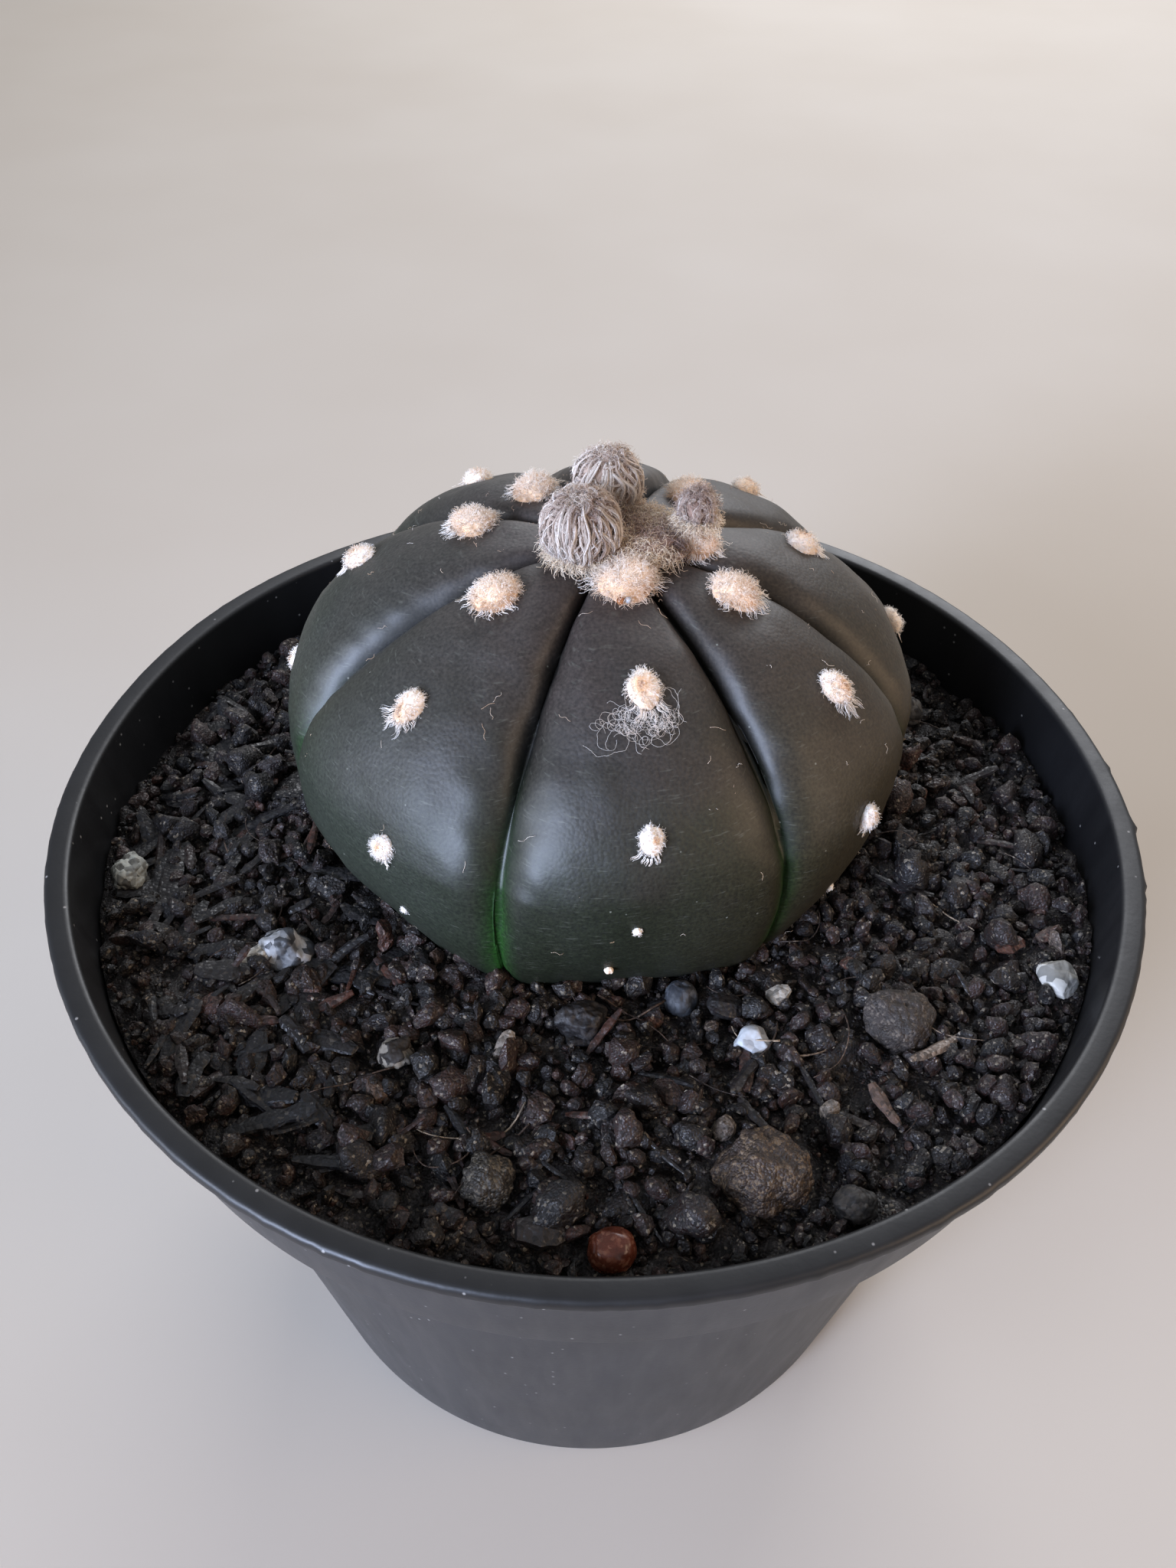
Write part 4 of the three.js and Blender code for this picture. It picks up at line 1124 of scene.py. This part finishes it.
def lumps(rng, centres, sizes, tones, level):
    """Broken crumbs: balls cut by random planes, stretched and turned.

    In each direction the radius is the least of 1 and every plane's distance over the cosine to it.
    """
    ball, faces = icosphere(level)
    count = len(centres)
    normals = unit(rng.normal(size=(count, CRUMB_PLANES, 3)))
    distances = rng.uniform(0.45, 0.95, (count, CRUMB_PLANES))
    cosines = np.maximum(np.einsum("vc,npc->nvp", ball, normals), 0.05)
    radius = np.minimum((distances[:, None] / cosines).min(axis=-1), 1.0)
    stretch = np.stack([
        rng.uniform(0.85, 1.25, count), rng.uniform(0.75, 1.05, count),
        rng.uniform(CRUMB_FLATNESS - 0.15, CRUMB_FLATNESS + 0.15, count)], -1)
    points = ball[None] * radius[..., None] * stretch[:, None] * sizes[:, None, None] / 2
    points = np.einsum("nij,nvj->nvi", random_turns(rng, count), points)
    rough = ripple(points + centres[:, None] * 3.1, 0.9, 61) * 0.09
    rough = rough + ripple(points * 2.3 + 5, 0.8, 62) * 0.06
    points = points * (1 + rough)[..., None] + centres[:, None]
    starts = np.arange(count)[:, None, None] * len(ball)
    all_faces = (faces[None] + starts).reshape(-1, 3)
    return shape(points.reshape(-1, 3), [all_faces], tone=np.repeat(tones, len(ball)))


STONES = {
    # node: (dark colour, pale colour, speck in mm, share of pale, roughness, bump in mm, lumpiness)
    "gravel_speckled": ("#32261f", "#6f5b45", 0.26, 0.2, 0.6, 0.22, 0.1),
    "gravel_grey_brown": ("#2c2722", "#736a5c", 0.26, 0.2, 0.6, 0.22, 0.08),
    "gravel_brown_right": ("#2d2622", "#6b6055", 0.24, 0.05, 0.75, 0.14, 0.08),
    "pebble_red_brown": ("#55291b", "#8b604b", 0.3, 0.05, 0.26, 0.01, 0.03),
    "pebble_white": ("#777b81", "#b6babf", 0.9, 0.7, 0.45, 0.05, 0.03),
    "pebble_blue_grey": ("#33363c", "#50545b", 0.9, 0.4, 0.62, 0.04, 0.04),
    "charcoal_lump_front": ("#151213", "#2c2725", 0.6, 0.35, 0.6, 0.14, 0.08),
    "stone_grey_angular": ("#3d3f43", "#b4b5b7", 0.9, 0.3, 0.5, 0.14, 0.06),
    "pebble_pale_left": ("#4b4a45", "#a3a49c", 0.7, 0.5, 0.75, 0.18, 0.08),
    "chip_pale_right": ("#74736f", "#b9b6af", 1.2, 0.5, 0.55, 0.05, 0.03),
    "pebble_dark_right": ("#1f1c1a", "#3f3933", 0.5, 0.35, 0.7, 0.12, 0.06),
    "stone_white_spot": ("#29231f", "#a69c8e", 1.0, 0.22, 0.7, 0.12, 0.06),
    "stone_behind_left": ("#2f2a26", "#6f665b", 0.5, 0.35, 0.8, 0.14, 0.06),
    "stone_behind_right": ("#262423", "#5c5955", 0.6, 0.3, 0.75, 0.12, 0.05),
}


def make_stones():
    """Each large stone: a ball worn between random planes, with fine pitting, in its CAD box."""
    ball, faces = icosphere(4)
    for number, (node, (dark, pale, speck, share, roughness, bump, lumpy)) in enumerate(STONES.items()):
        rng = np.random.default_rng(500 + number)
        low, high = node_box(node)
        angular = 1.0 if any(word in node for word in ("angular", "chip", "charcoal", "white")) else 0.4
        normals = unit(rng.normal(size=(14, 3)))
        cosines = np.maximum(ball @ normals.T, 0.05)
        cut = np.minimum((rng.uniform(0.72, 0.98, 14) / cosines).min(axis=-1), 1.0)
        radius = 1 + (cut - 1) * angular
        swells = 1.2 * ripple(ball, 1.1, number) + 0.5 * ripple(ball, 0.35, number + 50)
        radius = radius + lumpy * swells
        radius = radius + lumpy * 0.16 * ripple(ball, 0.12, number + 90)
        points = ball * radius[:, None]
        points = (points - points.min(axis=0)) / np.ptp(points, axis=0)
        surface = shape(low + points * (high - low), [faces])
        title = node.replace("_", " ") + ", weathered"
        material = speckled_stone(title, dark, pale, speck, share, roughness, bump)
        slot = "charcoal" if "charcoal" in node else "stone"
        add_piece(node + "_worn", surface, material, slot, [node])


def free_spots(rng, count, margin):
    """Random places on the mix, clear of the plant's waist and, by margin, of the pot's wall."""
    reach = pot_inside(MIX_LEVEL) - margin
    radius = np.sqrt(rng.uniform(0, 1, count * 3)) * reach
    angle = rng.uniform(0, TURN, count * 3)
    x, y = radius * np.cos(angle), radius * np.sin(angle)
    clear = np.hypot(x, y - PLANT_BACK) > 0.86 * PLANT_RADIUS
    return np.stack([x[clear], y[clear]], -1)[:count]


PALE_SHARE = 0.06


def make_crumbs(material):
    """Thousands of crumbs of bark, charcoal and grit: a fine bed, a middle size, and large ones."""
    rng = np.random.default_rng(77)
    stone_boxes = [node_box(node) for node in STONES]
    beds = [
        # name, count, smallest, largest, level of the ball, sunk share
        ("mix_crumbs_fine", 7000, 0.4, 1.0, 0, 0.6),
        ("mix_crumbs_small", 2300, 0.9, 1.8, 1, 0.3),
        ("mix_crumbs_middle", 1400, 1.6, 2.8, 1, 0.1),
        ("mix_crumbs_large", 260, 2.4, 3.8, 1, 0.05),
        ("mix_lumps", 60, 3.2, 5.0, 2, 0.1),
    ]
    for name, count, smallest, largest, level, sunk in beds:
        spots = free_spots(rng, count, largest / 2)
        sizes = smallest + (largest - smallest) * rng.uniform(0, 1, len(spots)) ** 1.6
        keep = np.ones(len(spots), bool)
        for low, high in stone_boxes:
            middle, reach = (low + high)[:2] / 2, (high - low)[:2].max() / 2
            keep &= np.linalg.norm(spots - middle, axis=1) > reach * 0.8 + sizes * 0.3
        spots, sizes = spots[keep], sizes[keep]
        above = sizes * (0.5 - sunk) * rng.uniform(0.3, 1.1, len(sizes))
        z = mix_surface(spots[:, 0], spots[:, 1]) - 0.55 + above
        centres = np.column_stack([spots, z])
        tones = rng.uniform(0, 0.6, len(sizes))
        pale = rng.uniform(size=len(sizes)) < PALE_SHARE
        tones = tones + 0.4 * pale * rng.uniform(0.3, 1, len(sizes))
        surface = lumps(rng, centres, sizes, tones, level)
        add_piece(name, surface, material, "potting_mix", flat=level < 2)


CHIPS = [
    # x, y, length, width, heading in degrees, tone
    (-32.5, -18.8, 3.1, 2.6, 20, 0.95),
    (12.6, -23.4, 3.3, 2.8, 0, 0.15),
    (17.6, -22.4, 2.3, 2.0, 30, 0.9),
    (46.0, -18.8, 4.0, 2.2, -40, 0.85),
    (41.0, -15.1, 3.2, 2.0, 30, 0.55),
    (-3.7, -47.1, 4.0, 3.2, 0, 0.3),
    (-7.9, -28.5, 3.0, 1.8, 70, 0.8),
    (31.5, -28.0, 6.7, 1.1, 35, 0.72),
    (26.0, -33.8, 4.3, 1.2, -60, 0.62),
    (-32.0, -23.0, 4.8, 1.6, 60, 0.1),
    (-27.0, -28.0, 4.6, 1.5, -50, 0.12),
    (-18.0, -38.0, 5.8, 1.7, 20, 0.08),
]


def flat_rods(rng, middle, heading, tilt, length, width, tone, thinness):
    """Flat rods with ragged, tapered ends about their middles.

    A path of seven points is turned by its heading, tilted and slightly bent. Rings of six points
    go round it, and are pressed flat about it by thinness.
    """
    count = len(middle)
    s = np.linspace(-0.5, 0.5, 7)
    bend = rng.normal(0, 0.04, count)[:, None] * (s ** 2 * 4 - 0.5)
    direction = np.stack([np.cos(heading), np.sin(heading), np.tan(tilt)], -1)
    sideways = np.stack([-np.sin(heading), np.cos(heading), np.zeros(count)], -1)
    paths = (middle[:, None] + direction[:, None] * (length[:, None] * s)[..., None]
             + sideways[:, None] * (length[:, None] * bend)[..., None])
    out = np.hypot(paths[..., 0], paths[..., 1]).max(axis=1)
    waist = np.hypot(paths[..., 0], paths[..., 1] - PLANT_BACK).min(axis=1)
    clear = (out < pot_inside(MIX_LEVEL) - 0.8) & (waist > 0.88 * PLANT_RADIUS)
    paths = paths[clear]
    profile = np.array([0.55, 0.92, 1, 1, 0.97, 0.85, 0.5])
    ragged = profile * rng.uniform(0.75, 1.2, (len(paths), 7))
    rods = tubes(paths, ragged * width[clear][:, None] / 2, 6, tone=tone[clear][:, None])
    line = np.repeat(paths.reshape(-1, 3), 6, axis=0)
    rods["points"][:, 2] = line[:, 2] + (rods["points"][:, 2] - line[:, 2]) * thinness
    return rods


def make_slivers(material):
    """Slivers of bark lying on the mix, dark blades mostly at the left, and the chips in CHIPS."""
    rng = np.random.default_rng(88)
    spots = free_spots(rng, 430, 3.5)
    likely = 0.7 - 0.5 * smooth(-25, 20, spots[:, 0]) + 0.15 * smooth(0, 30, spots[:, 1])
    spots = spots[rng.uniform(size=len(spots)) < likely]
    blades = free_spots(rng, 330, 3.5)
    blades = blades[rng.uniform(size=len(blades)) < 0.55 * (1 - smooth(-30, -8, blades[:, 0]))]
    parts = []
    for places, shortest, longest, narrowest, widest, darkest, palest, thinness in (
            (spots, 2.0, 7.0, 0.4, 1.3, 0.0, 0.6, 0.45), (blades, 4.0, 8.5, 1.4, 2.8, 0.0, 0.12, 0.25)):
        count = len(places)
        z = mix_surface(places[:, 0], places[:, 1]) + rng.uniform(-0.2, 0.9, count)
        tone = darkest + (palest - darkest) * rng.uniform(0, 1, count) ** 2
        heading, tilt = rng.uniform(0, TURN, count), rng.normal(0, 0.22, count)
        length = rng.uniform(shortest, longest, count)
        width = rng.uniform(narrowest, widest, count)
        middle = np.column_stack([places, z])
        parts.append(flat_rods(rng, middle, heading, tilt, length, width, tone, thinness))
    x, y, length, width, heading, tone = np.array(CHIPS, float).T
    middle = np.column_stack([x, y, mix_surface(x, y) + 0.7])
    tilt = rng.normal(0, 0.2, len(x))
    parts.append(flat_rods(rng, middle, np.radians(heading), tilt, length, width, tone, 0.5))
    add_piece("bark_slivers", joined(parts), material, "potting_mix", flat=True)


def make_fibres(material):
    """Fine roots and fibres that lie over the mix in loose curves, and one from the stem down."""
    rng = np.random.default_rng(99)
    count = 46
    spots = free_spots(rng, count, 8)
    s = np.linspace(0, 1, 16)
    heading = rng.uniform(0, TURN, (len(spots), 1)) + rng.normal(0, 1.6, (len(spots), 1)) * s
    step = rng.uniform(4, 11, (len(spots), 1)) / 15
    x = spots[:, :1] + np.cumsum(np.cos(heading) * step, axis=1)
    y = spots[:, 1:] + np.cumsum(np.sin(heading) * step, axis=1)
    z = mix_surface(x, y) + 0.75 + 0.5 * ripple(np.stack([x, y, 0 * x], -1), 5.0, 98)
    paths = np.stack([x, y, z], -1)
    inside = np.hypot(x, y).max(axis=1) < pot_inside(MIX_LEVEL) - 1
    inside &= np.hypot(x, y - PLANT_BACK).min(axis=1) > 0.92 * PLANT_RADIUS
    paths = paths[inside]
    thick = rng.uniform(0.05, 0.13, (len(paths), 1)) * np.linspace(1, 0.5, 16)
    parts = [tubes(paths, thick, 5, tone=rng.beta(1.5, 2.5, (len(paths), 1)))]
    # A pale root leaves the underside of the left front rib and dives into the mix.
    start = skin_points(np.array([7]), np.array([-0.25]), np.array([1.36]), 0.1)[0]
    end = start + np.array([0.2, -6.2, 0])
    end[2] = mix_surface(end[0], end[1]) - 0.2
    line = start + (end - start) * s[:, None]
    line[:, 0] += 0.7 * np.sin(s * 5.5)
    line[:, 2] -= 0.8 * np.sin(s * math.pi)
    parts.append(tubes(line[None], np.linspace(0.2, 0.07, 16)[None], 5, tone=0.95))
    add_piece("root_fibres", joined(parts), material, "potting_mix")


# ---- Camera, floor and light ----


CAMERA_PLACE = (0, -98.74, POT_TOP + 95.19)
CAMERA_LENS = 30.27
CAMERA_YAW, CAMERA_PITCH, CAMERA_ROLL = np.radians([-0.536, -43.76, 0.92])


def make_camera():
    """The camera stands in front and above and looks down at the plant by about 44 degrees."""
    data = bpy.data.cameras.new("camera")
    data.sensor_width = 36
    data.lens = CAMERA_LENS
    data.clip_start = 0.005
    camera = bpy.data.objects.new("camera", data)
    level = math.cos(CAMERA_PITCH)
    forward = Vector((level * math.sin(CAMERA_YAW), level * math.cos(CAMERA_YAW),
                      math.sin(CAMERA_PITCH)))
    right = forward.cross(Vector((0, 0, 1))).normalized()
    up = right.cross(forward)
    cos_roll, sin_roll = math.cos(CAMERA_ROLL), math.sin(CAMERA_ROLL)
    rolled_right = right * cos_roll + up * sin_roll
    rolled_up = up * cos_roll - right * sin_roll
    turn = Matrix((rolled_right, rolled_up, -forward)).transposed().to_4x4()
    camera.matrix_world = Matrix.Translation(Vector(CAMERA_PLACE) * MM) @ turn
    bpy.context.scene.collection.objects.link(camera)
    bpy.context.scene.camera = camera


def add_light(name, place, target, size, power, colour, spread=180):
    """A soft light of a width and height at a place, in metres, turned to face a target.

    spread is the full angle of its beam in degrees.
    """
    data = bpy.data.lights.new(name, "AREA")
    data.shape = "RECTANGLE"
    data.size, data.size_y = size
    data.energy = power
    data.color = linear(colour)[:3]
    data.spread = math.radians(spread)
    light = bpy.data.objects.new(name, data)
    light.location = place
    light.rotation_euler = (Vector(target) - Vector(place)).to_track_quat("-Z", "Y").to_euler()
    bpy.context.scene.collection.objects.link(light)


def make_studio():
    """A plain pale floor, soft sky light, a large light at the back, and three smaller ones."""
    material, tree = new_material("pale floor, plain")
    place = add(tree, "TexCoord").outputs["Object"]
    cloud = add(tree, "TexNoise", {"Vector": place, "Scale": 9.0, "Detail": 3.0})
    colour = add(tree, "ValToRGB", {"Fac": cloud.outputs["Fac"]},
                 stops=[(0.3, "#b0a79c"), (0.7, "#b5ada3")])
    finish_material(tree, {"Base Color": colour.outputs["Color"], "Roughness": 0.9})
    corners = np.array([[-2, -2, 0], [2, -2, 0], [2, 2, 0], [-2, 2, 0.0]]) / MM
    floor = add_piece("floor", shape(corners, [np.array([[0, 1, 2, 3]])]), material, None)
    world = bpy.data.worlds.new("sky")
    bpy.context.scene.world = world
    world.use_nodes = True
    world.node_tree.nodes.clear()
    sky = add(world.node_tree, "Background", {"Color": linear("#e6eaf1"), "Strength": 0.46})
    add(world.node_tree, "OutputWorld", {"Surface": sky.outputs[0]})
    add_light("back_light", (0.2, 0.85, 0.55), (0, 0, 0.08), (0.7, 0.5), 8.0, "#f4f6fc")
    add_light("window_light", (-0.6, -0.28, 0.26), (0, 0, 0.09), (0.4, 0.34), 0.7, "#dde6f6", 80)
    add_light("left_front_light", (-0.44, -0.52, 0.27), (0, 0, 0.09), (0.2, 0.56), 2.5, "#c8d7f8", 70)
    add_light("right_light", (0.6, -0.2, 0.3), (0, 0, 0.07), (0.5, 0.5), 2.4, "#ffdab4")
    bpy.context.scene.view_settings.view_transform = "Standard"


# ---- Everything in its place ----

make_camera()
make_studio()

make_pot(black_polypropylene())
make_plant(cactus_epidermis())

cream = plant_wool("areole wool, felted", [(0.15, "#7d6056"), (0.38, "#d6a97f"), (0.65, "#e6ccb2"),
                                           (0.95, "#efe9e2")])
grey = plant_wool("bud wool, combed", [(0.05, "#553d34"), (0.35, "#8b7062"), (0.65, "#ae9888"),
                                       (0.95, "#ded1c4")])
crown = plant_wool("crown wool, tangled", [(0.05, "#503830"), (0.35, "#8f7062"), (0.6, "#d2b491"),
                                           (0.95, "#ecdcc4")])
make_tufts(cream)
skirts = [
    make_bud("front_bud", "flower_bud_front", 41, 150, grey, 1100, 0.0),
    make_bud("back_bud", "flower_bud_back", 42, 90, grey, 500, 0.14),
    make_bud("right_bud", "flower_bud_right", 43, 60, grey, 800, -0.14),
]
make_crown(crown, skirts)
make_nectar()
make_lint(cream)

mix = crumbs("composted bark and charcoal crumbs",
             [(0.0, "#080505"), (0.3, "#140c0a"), (0.6, "#2a1a16"), (0.75, "#3f251c"),
              (0.88, "#4a3f37"), (1.0, "#83786b")], 0.26, 0.6, 0.12)
make_ground(mix)
make_crumbs(mix)
make_slivers(crumbs("bark slivers and chips", [(0.0, "#0f0e11"), (0.3, "#1d1716"), (0.55, "#40271f"),
                                               (0.75, "#6f6257"), (1.0, "#a9a59c")],
                    0.4, 0.5, 0.12, 0.25))
make_fibres(crumbs("root fibres", [(0.0, "#1c1512"), (0.5, "#4a382c"), (1.0, "#b9a78f")],
                   0.3, 0.7, 0.05))
make_stones()
